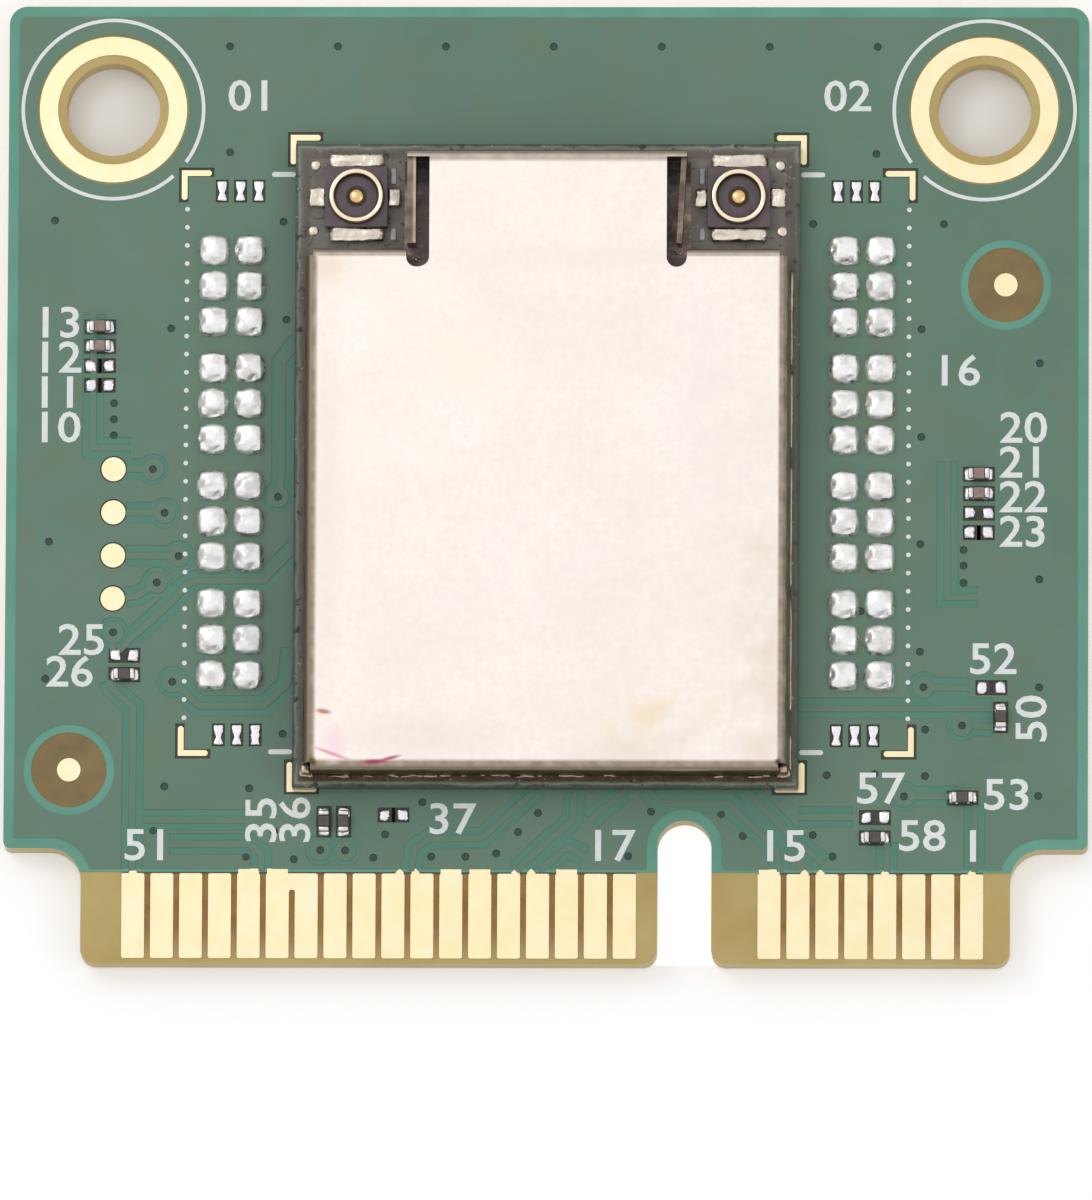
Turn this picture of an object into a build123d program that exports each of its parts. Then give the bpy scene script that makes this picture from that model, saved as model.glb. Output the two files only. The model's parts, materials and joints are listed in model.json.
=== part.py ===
from build123d import *
import os

# Half-length mini card with a soldered radio module under a folded shield can.
# Millimetres. +Z is up, away from the component side. +Y runs from the gold edge contacts to the
# mounting holes. The origin is at the middle of the board outline, on its lower face.

# Edge contacts: two rows on one pitch, the lower row shifted sideways by half a pitch
contact_pitch = 0.8
contact_width = 0.6
contact_thickness = 0.03
right_contact_count = 8
left_contact_count = 18
key_blank_places = 4
contact_side_margin = 1.05
contact_tip_gap = 0.14
bridged_contact = 6
bridge_length = 0.5

# Tongue and key notch
tongue_height = 3.2
tongue_tip_radius = 0.4
notch_width = 1.5
notch_depth = 4.0
notch_shift = 0.05

# Board and its layers
board_thickness = 1.0
shoulder_width = 2.15
shoulder_corner_radius = 0.2
shoulder_root_radius = 0.9
board_corner_radius = 0.5
layer_thickness = 0.04
mask_edge_above_tip = 2.55
mask_clearance = 0.04

# Mounting holes and their ground rings
hole_edge_distance = 2.9
hole_diameter = 2.6
hole_pad_gap = 0.23
ring_width = 0.53
ring_thickness = 0.03

# Short printed lines beside the module
print_thickness = 0.02
dash_length = 0.66
dash_width = 0.14
dash_inset = 1.15

# Alignment targets and test pads
target_dot_diameter = 0.65
target_window_diameter = 2.09
right_target_from_edge = 2.3
right_target_from_top = 7.8
left_target_from_edge = 1.8
left_target_above_tip = 5.39
test_pad_diameter = 0.67
test_pad_pitch = 1.207
test_pad_count = 4
test_pad_from_edge = 2.98
test_pad_top_y = 0.4
pad_thickness = 0.03

# Radio module board, standing on solder joints
module_width = 14.0
module_length = 18.0
module_thickness = 0.5
module_joint_height = 0.05
module_from_top_edge = 3.95
module_to_mask_edge = 2.3
joint_width = 0.7
joint_length = 0.45
joint_inset = 0.5
joints_along_side = 10
joints_along_end = 6
side_row_margin = 1.8
end_row_margin = 2.25
thermal_joint_size = 1.6
thermal_joint_pitch = 2.6

# Shield can, folded from one sheet
can_ledge = 0.325
can_height = 1.15
can_sheet = 0.15
can_bend_radius = 0.2
can_corner_relief = 0.22
can_step_width = 2.8
can_step_length = 2.765
can_slot_width = 0.35
can_slot_to_tab = 0.2
can_relief_width = 0.56
can_relief_below_step = 0.53
can_tab_gap = 0.16
can_right_tab_lean = 3.0
foot_gap_width = 0.8
foot_gap_height = 0.12
foot_gap_pitch = 2.1
long_wall_gap_count = 6
back_wall_gap_count = 3
step_wall_gap_count = 1

# Antenna connectors
connector_from_module_side = 1.7
connector_from_module_top = 1.53
connector_base_width = 1.74
connector_base_length = 1.7
connector_base_height = 0.35
connector_floor_height = 0.3
connector_ring_diameter = 1.5
connector_ring_wall = 0.13
connector_height = 0.6
ground_tab_width = 1.58
ground_tab_length = 0.38
inner_tab_width = 0.52
inner_tab_length = 0.34
signal_tab_width = 0.54
signal_tab_length = 0.44
ground_leg_thickness = 0.15
signal_leg_thickness = 0.08
leg_width = 0.3
centre_pin_diameter = 0.42
centre_pin_height = 0.5
centre_pin_chamfer = 0.1

# Gold corner marks of the two module outlines
mark_arm = 0.9
mark_width = 0.18
inner_mark_side_margin = 0.2
inner_mark_end_margin = 0.24
outer_mark_margin = 3.22
outer_mark_shortfall = 0.76
marks_above_module_middle = 0.14

# Solder bumps on the lands of the second module outline
bump_size = 0.74
bump_height = 0.34
bump_foot_height = 0.17
bump_crown_taper = 42.0
bump_pitch = 1.0
bumps_in_group = 3
bump_groups = 4
bump_columns = 2
bump_column_inset = 0.97
bump_row_shift = -0.03

# Three small solder pads beyond each end of the bump columns
corner_pad_width = 0.28
corner_pad_length = 0.56
corner_pad_pitch = 0.51
corner_pad_thickness = 0.07
corner_pads_from_mark = 0.62
corner_pads_from_bumps = 1.67
corner_pad_column_inset = 1.67

# Chip resistors, chip capacitors and the unused pads between them
chip_length = 0.6
chip_width = 0.3
chip_height = 0.26
chip_terminal = 0.15
land_length = 0.3
land_width = 0.34
land_gap = 0.2
land_thickness = 0.06
left_chip_column_from_edge = 2.58
left_chip_column_y = 4.39
right_chip_column_from_edge = 3.03
right_chip_column_y = 0.29
chip_row_pitch = 0.545
left_resistor_from_edge = 3.32
left_resistor_above_tip = 8.05
left_pads_above_resistor = 0.54
front_resistor_x = -5.85
front_resistor_pitch = 0.54
front_resistor_above_mask = 1.4
front_pads_x = -4.2
front_pads_above_mask = 1.59
right_pads_from_edge = 2.67
right_pads_above_tip = 7.72
upright_resistor_from_edge = 2.41
upright_resistor_above_tip = 6.89
right_resistor_from_edge = 3.46
right_resistor_above_tip = 4.64
key_resistor_x = 9.12
key_resistor_above_mask = 0.97
key_pads_above_resistor = 0.57

# Parts on the module board, under the can
inner_gap = 0.8
radio_chip_height = 0.75
front_end_size = 2.0
front_end_height = 0.6
front_end_x = 3.6
crystal_width = 2.5
crystal_length = 2.0
crystal_height = 0.55
inductor_width = 2.0
inductor_length = 1.6
inductor_height = 0.85
beside_memory_x = 4.4
memory_width = 2.0
memory_length = 3.0
memory_height = 0.55
small_capacitor_length = 1.0
small_capacitor_width = 0.5
small_capacitor_height = 0.5
small_capacitor_count = 5
small_capacitor_pitch = 1.3

# Outline worked out from the contacts and the module
row_shift = contact_pitch / 2
contact_places = left_contact_count + right_contact_count + key_blank_places
contact_span = (contact_places - 1) * contact_pitch
tongue_width = contact_span + 2 * contact_side_margin + row_shift
board_width = tongue_width + 2 * shoulder_width
board_height = module_from_top_edge + module_length + module_to_mask_edge + mask_edge_above_tip
side_x = board_width / 2
top_y = board_height / 2
tip_y = -top_y
shoulder_y = tip_y + tongue_height
mask_edge_y = tip_y + mask_edge_above_tip
first_right_x = tongue_width / 2 - contact_side_margin
last_left_x = first_right_x - (right_contact_count + key_blank_places) * contact_pitch
last_right_x = first_right_x - (right_contact_count - 1) * contact_pitch
lower_gap_middle = (last_left_x + last_right_x) / 2 - row_shift
notch_x = lower_gap_middle + notch_shift

# Levels
laminate_bottom = layer_thickness
laminate_top = board_thickness - layer_thickness
module_bottom = board_thickness + module_joint_height
module_top = module_bottom + module_thickness

# Places of the module and of what is tied to it
module_y = top_y - module_from_top_edge - module_length / 2
module_top_y = module_y + module_length / 2
marks_y = module_y + marks_above_module_middle
inner_mark_x = module_width / 2 + inner_mark_side_margin
inner_mark_y = module_length / 2 + inner_mark_end_margin
outer_mark_x = module_width / 2 + outer_mark_margin
outer_mark_y = module_length / 2 - outer_mark_shortfall
corner_pad_reach = outer_mark_y - corner_pads_from_mark
bump_column_reach = corner_pad_reach - corner_pads_from_bumps
bump_group_pitch = (2 * bump_column_reach - (bumps_in_group - 1) * bump_pitch) / (bump_groups - 1)
joint_side_pitch = (module_length - 2 * side_row_margin) / (joints_along_side - 1)
joint_end_pitch = (module_width - 2 * end_row_margin) / (joints_along_end - 1)
hole_x = side_x - hole_edge_distance
hole_y = top_y - hole_edge_distance
ring_inner_radius = hole_diameter / 2 + hole_pad_gap
ring_outer_radius = ring_inner_radius + ring_width
connector_x = module_width / 2 - connector_from_module_side
connector_y = module_top_y - connector_from_module_top

nodes = {}


def plate(sketch, low, high):
    """A flat piece between two levels."""
    return Pos(0, 0, low) * extrude(sketch, high - low)


def rectangle(x, y, width, length):
    return Pos(x, y) * Rectangle(width, length)


def joined(pieces):
    """Separate or touching pieces as one shape."""
    whole = pieces[0]
    for piece in pieces[1:]:
        whole += piece
    return whole


def block(x, y, width, length, low, high):
    return plate(rectangle(x, y, width, length), low, high)


def disc(x, y, diameter, low, high):
    return plate(Pos(x, y) * Circle(diameter / 2), low, high)


def board_outline():
    """Outline with the tongue, its shoulders and the key notch."""
    half_tongue = tongue_width / 2
    path = FilletPolyline(
        (-side_x, top_y),
        (side_x, top_y),
        (side_x, shoulder_y),
        (half_tongue, shoulder_y),
        (half_tongue, tip_y),
        (-half_tongue, tip_y),
        (-half_tongue, shoulder_y),
        (-side_x, shoulder_y),
        radius=[
            board_corner_radius,
            board_corner_radius,
            shoulder_corner_radius,
            shoulder_root_radius,
            tongue_tip_radius,
            tongue_tip_radius,
            shoulder_root_radius,
            shoulder_corner_radius,
        ],
        close=True,
    )
    notch_top = tip_y + notch_depth - notch_width / 2
    notch = rectangle(notch_x, (notch_top + tip_y) / 2, notch_width, notch_top - tip_y)
    notch += Pos(notch_x, notch_top) * Circle(notch_width / 2)
    outline = make_face(path) - notch
    tip_corners = outline.vertices().group_by(Axis.Y)[0]
    mouth = [corner for corner in tip_corners if abs(corner.X - notch_x) < notch_width]
    return fillet(mouth, tongue_tip_radius)


def hole_places():
    return [(-hole_x, hole_y), (hole_x, hole_y)]


def contact_row(count, first_x, low, high):
    """Contacts from right to left, each ending at the edge of the lacquer."""
    length = mask_edge_above_tip - contact_tip_gap
    middle = mask_edge_y - length / 2
    places = [first_x - place * contact_pitch for place in range(count)]
    return [block(x, middle, contact_width, length, low, high) for x in places]


def bump_places(side):
    """Middles of the solder bumps on one side of the module."""
    group_start = -(bump_groups - 1) / 2
    row_start = -(bumps_in_group - 1) / 2
    places = []
    for group in range(bump_groups):
        for row in range(bumps_in_group):
            y = marks_y + bump_row_shift
            y += (group_start + group) * bump_group_pitch + (row_start + row) * bump_pitch
            for column in range(bump_columns):
                x = outer_mark_x - bump_column_inset - column * bump_pitch
                places.append((side * x, y))
    return places


def corner_pad_places():
    """Three small pads beyond each end of the bump columns."""
    places = []
    for side in (-1, 1):
        for end in (-1, 1):
            y = marks_y + end * corner_pad_reach
            for step in (-1, 0, 1):
                x = outer_mark_x - corner_pad_column_inset + step * corner_pad_pitch
                places.append((side * x, y))
    return places


def joint_places():
    """Lands under the module: (x, y, width, length)."""
    places = []
    side_inset = module_width / 2 - joint_inset
    end_inset = module_length / 2 - joint_inset
    for step in range(joints_along_side):
        y = module_y + (step - (joints_along_side - 1) / 2) * joint_side_pitch
        places += [(side * side_inset, y, joint_width, joint_length) for side in (-1, 1)]
    for step in range(joints_along_end):
        x = (step - (joints_along_end - 1) / 2) * joint_end_pitch
        places += [(x, module_y + end * end_inset, joint_length, joint_width) for end in (-1, 1)]
    for column in (-1, 0, 1):
        for row in (-1, 0, 1):
            place = (column * thermal_joint_pitch, module_y + row * thermal_joint_pitch)
            places.append((*place, thermal_joint_size, thermal_joint_size))
    return places


def chip_places():
    """Small chips and unused pad pairs: (kind, x, y, upright)."""
    left_x = -side_x + left_chip_column_from_edge
    right_x = side_x - right_chip_column_from_edge
    resistor_x = -side_x + left_resistor_from_edge
    resistor_y = tip_y + left_resistor_above_tip
    front_y = mask_edge_y + front_resistor_above_mask
    key_y = mask_edge_y + key_resistor_above_mask
    upright_x = side_x - upright_resistor_from_edge
    lower_right_x = side_x - right_resistor_from_edge
    places = []
    for x, first_y in ((left_x, left_chip_column_y), (right_x, right_chip_column_y)):
        for row, kind in enumerate(("capacitor", "capacitor", "bare", "bare")):
            places.append((kind, x, first_y - row * chip_row_pitch, False))
    places.append(("bare", resistor_x, resistor_y + left_pads_above_resistor, False))
    places.append(("resistor", resistor_x, resistor_y, False))
    places.append(("resistor", front_resistor_x - front_resistor_pitch / 2, front_y, True))
    places.append(("resistor", front_resistor_x + front_resistor_pitch / 2, front_y, True))
    places.append(("bare", front_pads_x, mask_edge_y + front_pads_above_mask, False))
    places.append(("bare", side_x - right_pads_from_edge, tip_y + right_pads_above_tip, False))
    places.append(("resistor", upright_x, tip_y + upright_resistor_above_tip, True))
    places.append(("resistor", lower_right_x, tip_y + right_resistor_above_tip, False))
    places.append(("bare", key_resistor_x, key_y + key_pads_above_resistor, False))
    places.append(("resistor", key_resistor_x, key_y, False))
    return places


def end_places(x, y, upright, reach):
    """Two points at a distance from a chip's middle, along its length."""
    if upright:
        return [(x, y - reach), (x, y + reach)]
    return [(x - reach, y), (x + reach, y)]


def turned(upright, length, width):
    return (width, length) if upright else (length, width)


def mark_sketch(half_width, half_height, grow):
    """Four L-shaped corner marks, widened by a margin."""
    marks = []
    thick = mark_width + 2 * grow
    long = mark_arm + 2 * grow
    for side in (-1, 1):
        for end in (-1, 1):
            corner_x = side * (half_width + grow)
            corner_y = marks_y + end * (half_height + grow)
            flat = rectangle(corner_x - side * long / 2, corner_y - end * thick / 2, long, thick)
            upright = rectangle(corner_x - side * thick / 2, corner_y - end * long / 2, thick, long)
            marks.append(flat + upright)
    return joined(marks)


def target_places():
    return [
        (-side_x + left_target_from_edge, tip_y + left_target_above_tip),
        (side_x - right_target_from_edge, top_y - right_target_from_top),
    ]


def test_pad_places():
    x = -side_x + test_pad_from_edge
    return [(x, test_pad_top_y - row * test_pad_pitch) for row in range(test_pad_count)]


def land_places():
    """Solder lands of the small chips and unused pads: (x, y, width, length)."""
    places = []
    for kind, x, y, upright in chip_places():
        width, length = turned(upright, land_length, land_width)
        for end_x, end_y in end_places(x, y, upright, (land_gap + land_length) / 2):
            places.append((end_x, end_y, width, length))
    return places


def joint_windows():
    """Shared openings for the rows of joints and for the field of joints in the middle."""
    side_row = (joints_along_side - 1) * joint_side_pitch + joint_length
    end_row = (joints_along_end - 1) * joint_end_pitch + joint_length
    field = 2 * thermal_joint_pitch + thermal_joint_size
    windows = [(0, module_y, field, field)]
    for side in (-1, 1):
        windows.append((side * (module_width / 2 - joint_inset), module_y, joint_width, side_row))
        windows.append((0, module_y + side * (module_length / 2 - joint_inset), end_row, joint_width))
    return windows


def chip_windows():
    """One opening for both lands of each small chip."""
    long_side = 2 * land_length + land_gap
    return [(x, y, *turned(upright, long_side, land_width)) for kind, x, y, upright in chip_places()]


def pad_windows():
    """Openings of the lacquer for every pad of the component side, apart from the ground rings."""
    grow = 2 * mask_clearance
    pads = joint_windows() + chip_windows()
    pads += [(x, y, bump_size, bump_size) for side in (-1, 1) for x, y in bump_places(side)]
    pads += [(x, y, corner_pad_width, corner_pad_length) for x, y in corner_pad_places()]
    windows = [rectangle(x, y, width + grow, length + grow) for x, y, width, length in pads]
    windows += [Pos(x, y) * Circle(test_pad_diameter / 2 + mask_clearance) for x, y in test_pad_places()]
    windows += [Pos(x, y) * Circle(target_window_diameter / 2) for x, y in target_places()]
    windows.append(mark_sketch(inner_mark_x, inner_mark_y, mask_clearance))
    windows.append(mark_sketch(outer_mark_x, outer_mark_y, mask_clearance))
    return joined(windows)


def lacquer():
    """Green lacquer of one face, up to the contacts, open round the ground rings."""
    reach = top_y - mask_edge_y
    coat = board_outline() & rectangle(0, mask_edge_y + reach / 2, board_width, reach)
    return coat - joined([Pos(x, y) * Circle(ring_outer_radius + mask_clearance) for x, y in hole_places()])


def solder_bumps(side):
    """Pillows of solder: square feet under sloping crowns."""
    square = Rectangle(bump_size, bump_size)
    crown = extrude(square, bump_height - bump_foot_height, taper=bump_crown_taper)
    bump = plate(square, 0, bump_foot_height) + Pos(0, 0, bump_foot_height) * crown
    return joined([Pos(x, y, laminate_top) * bump for x, y in bump_places(side)])


def chip_body(x, y, upright):
    width, length = turned(upright, chip_length - 2 * chip_terminal, chip_width)
    low = laminate_top + land_thickness
    return block(x, y, width, length, low, low + chip_height)


def chip_terminals(x, y, upright):
    width, length = turned(upright, chip_terminal, chip_width)
    low = laminate_top + land_thickness
    ends = end_places(x, y, upright, (chip_length - chip_terminal) / 2)
    return [block(end_x, end_y, width, length, low, low + chip_height) for end_x, end_y in ends]


def can_wall(length, gap_count):
    """A wall with its bend to the roof, along X from the origin; its outer face is at Y = 0."""
    straight = can_height - can_bend_radius
    under_roof = can_height - can_sheet
    bend_end = (can_bend_radius, can_height)
    bend = RadiusArc((0, straight), bend_end, can_bend_radius)
    inner_corner = (can_sheet, under_roof)
    inside = Polyline(bend_end, (can_bend_radius, under_roof), inner_corner, (can_sheet, 0), (0, 0))
    profile = make_face([Line((0, 0), (0, straight)), bend, inside])
    wall = extrude(Plane(origin=(0, 0, 0), x_dir=(0, 1, 0), z_dir=(1, 0, 0)) * profile, length)
    for place in range(gap_count):
        middle = length / 2 + (place - (gap_count - 1) / 2) * foot_gap_pitch
        wall -= block(middle, 0, foot_gap_width, 2 * can_bend_radius, 0, foot_gap_height)
    return wall


def shield_can():
    """Roof and walls folded from one sheet, stepped back round both antenna connectors."""
    side = module_width / 2 - can_ledge
    front = module_y - module_length / 2 + can_ledge
    back = module_y + module_length / 2 - can_ledge
    step_y = back - can_step_length
    step_x = side - can_step_width
    slot_outer = step_x - can_slot_to_tab
    slot_inner = slot_outer - can_slot_width
    relief_bottom = step_y - can_relief_below_step
    relief_top = step_y + can_tab_gap
    front_length = 2 * (side - can_corner_relief)
    side_length = step_y - front - 2 * can_corner_relief
    step_length = can_step_width - can_corner_relief
    roof_back = step_y - can_bend_radius
    neck_back = back - can_bend_radius
    roof_front = front + can_bend_radius
    roof_width = 2 * (side - can_bend_radius)
    roof = rectangle(0, (roof_front + roof_back) / 2, roof_width, roof_back - roof_front)
    roof += rectangle(0, (roof_back + neck_back) / 2, 2 * slot_inner, neck_back - roof_back)
    front_wall = can_wall(front_length, long_wall_gap_count)
    side_wall = can_wall(side_length, long_wall_gap_count)
    step_wall = can_wall(step_length, step_wall_gap_count)
    back_wall = can_wall(2 * step_x, back_wall_gap_count)
    can = Pos(-front_length / 2, front, 0) * front_wall
    can += Pos(side, front + can_corner_relief, 0) * Rot(0, 0, 90) * side_wall
    can += Pos(-side, step_y - can_corner_relief, 0) * Rot(0, 0, -90) * side_wall
    can += Pos(side - can_corner_relief, step_y, 0) * Rot(0, 0, 180) * step_wall
    can += Pos(-step_x, step_y, 0) * Rot(0, 0, 180) * step_wall
    can += Pos(step_x, back, 0) * Rot(0, 0, 180) * back_wall
    can += plate(roof, can_height - can_sheet, can_height)
    tab_top = can_height - can_bend_radius
    for hand, lean in ((-1, 0), (1, can_right_tab_lean)):
        relief_x = hand * (slot_inner + can_relief_width / 2)
        round_y = relief_bottom + can_relief_width / 2
        relief = rectangle(relief_x, (round_y + relief_top) / 2, can_relief_width, relief_top - round_y)
        relief += Pos(relief_x, round_y) * Circle(can_relief_width / 2)
        can -= plate(relief, 0, can_height)
        tab_length = back - can_sheet / 2 - relief_top
        tab_sketch = rectangle(-hand * can_sheet / 2, -tab_length / 2, can_sheet, tab_length)
        tab = Rot(0, 0, -hand * lean) * plate(tab_sketch, foot_gap_height, tab_top)
        can += Pos(hand * step_x, back - can_sheet / 2, 0) * tab
    return Pos(0, 0, module_top) * can


def connector_leg(start, riser_length, end, tab_length, tab_width, thickness):
    """A strip along X from a riser under the ring or pin out to its solder tab."""
    strip = rectangle((start + end) / 2, 0, end - start, leg_width)
    tab = rectangle(end - tab_length / 2, 0, tab_length, tab_width)
    riser = block(start + riser_length / 2, 0, riser_length, leg_width, 0, connector_floor_height)
    return plate(strip + tab, 0, thickness) + riser


def antenna_connector(side):
    """Moulded base, ring-shaped ground shell and centre contact of one antenna connector."""
    seat = Pos(side * connector_x, connector_y, module_top)
    bore = connector_ring_diameter / 2 - connector_ring_wall
    ground_end = connector_base_length / 2 + ground_tab_length
    inner_end = connector_base_width / 2 + inner_tab_length
    signal_end = connector_base_width / 2 + signal_tab_length
    outward = Rot(0, 0, 0) if side > 0 else Rot(0, 0, 180)
    inward = Rot(0, 0, 180) if side > 0 else Rot(0, 0, 0)
    ring = disc(0, 0, connector_ring_diameter, connector_floor_height, connector_height)
    ring -= disc(0, 0, 2 * bore, connector_floor_height, connector_height)
    ground_leg = connector_leg(
        bore, connector_ring_wall, ground_end, ground_tab_length, ground_tab_width, ground_leg_thickness
    )
    inner_leg = connector_leg(
        bore, connector_ring_wall, inner_end, inner_tab_length, inner_tab_width, ground_leg_thickness
    )
    signal_leg = connector_leg(
        -leg_width / 2, leg_width, signal_end, signal_tab_length, signal_tab_width, signal_leg_thickness
    )
    shell = ring + Rot(0, 0, 90) * ground_leg + Rot(0, 0, -90) * ground_leg + inward * inner_leg
    pin = disc(0, 0, centre_pin_diameter, connector_floor_height, centre_pin_height)
    pin = chamfer(pin.edges().group_by(Axis.Z)[-1], centre_pin_chamfer)
    contact = pin + outward * signal_leg
    base = block(0, 0, connector_base_width, connector_base_length, 0, connector_base_height)
    base -= disc(0, 0, connector_ring_diameter, connector_floor_height, connector_base_height)
    base = base - shell - contact
    return seat * base, seat * shell, seat * contact


def dashes():
    """Four short printed lines beside the module's corners."""
    places = []
    for side in (-1, 1):
        for end in (-1, 1):
            x = side * (inner_mark_x - mark_width + dash_length / 2)
            y = marks_y + end * (inner_mark_y - dash_inset)
            places.append(rectangle(x, y, dash_length, dash_width))
    return joined(places)


# Bare board
holes = joined([disc(x, y, hole_diameter, 0, board_thickness) for x, y in hole_places()])
nodes["board_laminate"] = plate(board_outline(), laminate_bottom, laminate_top) - holes
nodes["solder_mask_top"] = plate(lacquer() - pad_windows(), laminate_top, board_thickness)
nodes["solder_mask_bottom"] = plate(lacquer(), 0, laminate_bottom)

# Gold edge contacts
upper_high = laminate_top + contact_thickness
upper_left = contact_row(left_contact_count, last_left_x, laminate_top, upper_high)
bridge_x = last_left_x - (left_contact_count - bridged_contact) * contact_pitch + contact_pitch / 2
bridge_y = mask_edge_y - bridge_length / 2
bridge = block(bridge_x, bridge_y, contact_pitch, bridge_length, laminate_top, upper_high)
upper_right = contact_row(right_contact_count, first_right_x, laminate_top, upper_high)
nodes["top_contacts_left"] = joined([*upper_left, bridge])
nodes["top_contacts_right"] = joined(upper_right)
lower_low = laminate_bottom - contact_thickness
lower_left = contact_row(left_contact_count, last_left_x - row_shift, lower_low, laminate_bottom)
lower_right = contact_row(right_contact_count, first_right_x - row_shift, lower_low, laminate_bottom)
nodes["bottom_contacts_left"] = joined(lower_left)
nodes["bottom_contacts_right"] = joined(lower_right)

# Ground rings of the mounting holes, on both faces
for hand, (x, y) in zip(("left", "right"), hole_places()):
    ring = Pos(x, y) * (Circle(ring_outer_radius) - Circle(ring_inner_radius))
    nodes[f"{hand}_ground_ring_top"] = plate(ring, laminate_top, laminate_top + ring_thickness)
    nodes[f"{hand}_ground_ring_bottom"] = plate(ring, laminate_bottom - ring_thickness, laminate_bottom)

# Gold pads and marks
pad_high = laminate_top + pad_thickness
dot_sketch = joined([Pos(x, y) * Circle(target_dot_diameter / 2) for x, y in target_places()])
pad_sketch = joined([Pos(x, y) * Circle(test_pad_diameter / 2) for x, y in test_pad_places()])
nodes["alignment_dots"] = plate(dot_sketch, laminate_top, pad_high)
nodes["test_pads"] = plate(pad_sketch, laminate_top, pad_high)
nodes["inner_corner_marks"] = plate(mark_sketch(inner_mark_x, inner_mark_y, 0), laminate_top, pad_high)
nodes["outer_corner_marks"] = plate(mark_sketch(outer_mark_x, outer_mark_y, 0), laminate_top, pad_high)

# Solder on the unused lands
nodes["left_solder_bumps"] = solder_bumps(-1)
nodes["right_solder_bumps"] = solder_bumps(1)
corner_pads = joined([rectangle(x, y, corner_pad_width, corner_pad_length) for x, y in corner_pad_places()])
nodes["corner_solder_pads"] = plate(corner_pads, laminate_top, laminate_top + corner_pad_thickness)
lands = joined([rectangle(*place) for place in land_places()])
nodes["chip_solder_lands"] = plate(lands, laminate_top, laminate_top + land_thickness)

# Chip capacitors and resistors
for kind in ("capacitor", "resistor"):
    places = [(x, y, upright) for name, x, y, upright in chip_places() if name == kind]
    terminals = [terminal for place in places for terminal in chip_terminals(*place)]
    nodes[f"{kind}_bodies"] = joined([chip_body(*place) for place in places])
    nodes[f"{kind}_terminals"] = joined(terminals)

# Print
nodes["printed_dashes"] = plate(dashes(), board_thickness, board_thickness + print_thickness)

# Radio module
joints = joined([rectangle(*place) for place in joint_places()])
nodes["module_solder_joints"] = plate(joints, laminate_top, module_bottom)
nodes["module_board"] = block(0, module_y, module_width, module_length, module_bottom, module_top)
nodes["shield_can"] = shield_can()
for hand, side in (("left", -1), ("right", 1)):
    base, shell, contact = antenna_connector(side)
    nodes[f"{hand}_connector_base"] = base
    nodes[f"{hand}_connector_shell"] = shell
    nodes[f"{hand}_connector_contact"] = contact


def module_part(x, y, width, length, height):
    """A part standing on the module board."""
    return block(x, y, width, length, module_top, module_top + height)


# Parts under the can, in rows from the front; the radio chip takes the length that the others leave
inner_front_y = module_y - module_length / 2 + can_ledge + can_sheet
inner_length = module_length - 2 * (can_ledge + can_sheet) - can_step_length
radio_chip_size = inner_length - crystal_length - front_end_size - 4 * inner_gap
radio_chip_y = inner_front_y + inner_gap + radio_chip_size / 2
second_row_y = radio_chip_y + radio_chip_size / 2 + inner_gap
front_end_y = second_row_y + crystal_length + inner_gap + front_end_size / 2
nodes["radio_chip"] = module_part(0, radio_chip_y, radio_chip_size, radio_chip_size, radio_chip_height)
for hand, x in (("left", -front_end_x), ("right", front_end_x)):
    front_end = module_part(x, front_end_y, front_end_size, front_end_size, front_end_height)
    nodes[f"{hand}_front_end_chip"] = front_end
crystal_y = second_row_y + crystal_length / 2
crystal = module_part(-beside_memory_x, crystal_y, crystal_width, crystal_length, crystal_height)
nodes["reference_crystal"] = crystal
inductor_y = second_row_y + inductor_length / 2
inductor = module_part(beside_memory_x, inductor_y, inductor_width, inductor_length, inductor_height)
nodes["power_inductor"] = inductor
memory_y = second_row_y + memory_length / 2
nodes["memory_chip"] = module_part(0, memory_y, memory_width, memory_length, memory_height)
capacitor_x = (radio_chip_size + small_capacitor_length + inner_gap) / 2
first_capacitor_y = radio_chip_y - (small_capacitor_count - 1) / 2 * small_capacitor_pitch
capacitor_rows = [first_capacitor_y + row * small_capacitor_pitch for row in range(small_capacitor_count)]
capacitor_tops = joined(
    [
        rectangle(x, y, small_capacitor_length, small_capacitor_width)
        for x in (-capacitor_x, capacitor_x)
        for y in capacitor_rows
    ]
)
nodes["module_capacitors"] = plate(capacitor_tops, module_top, module_top + small_capacitor_height)

os.makedirs("parts", exist_ok=True)
for name, shape in nodes.items():
    export_step(shape, f"parts/{name}.step")
    print(name, len(shape.solids()), round(shape.volume, 4))
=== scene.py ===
# %% [markdown]
# A half-length mini card is mostly flat: a lacquered board, gold contacts, printed marks and a radio
# module under a folded can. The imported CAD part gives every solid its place. This script loads it as
# the frame and then adds what the eye sees up close: the relief of the copper under the lacquer,
# solder, print, rounded edges and finishes.

import json
import math
import random

import bmesh
import bpy
from mathutils import Matrix, Vector, noise


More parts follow.
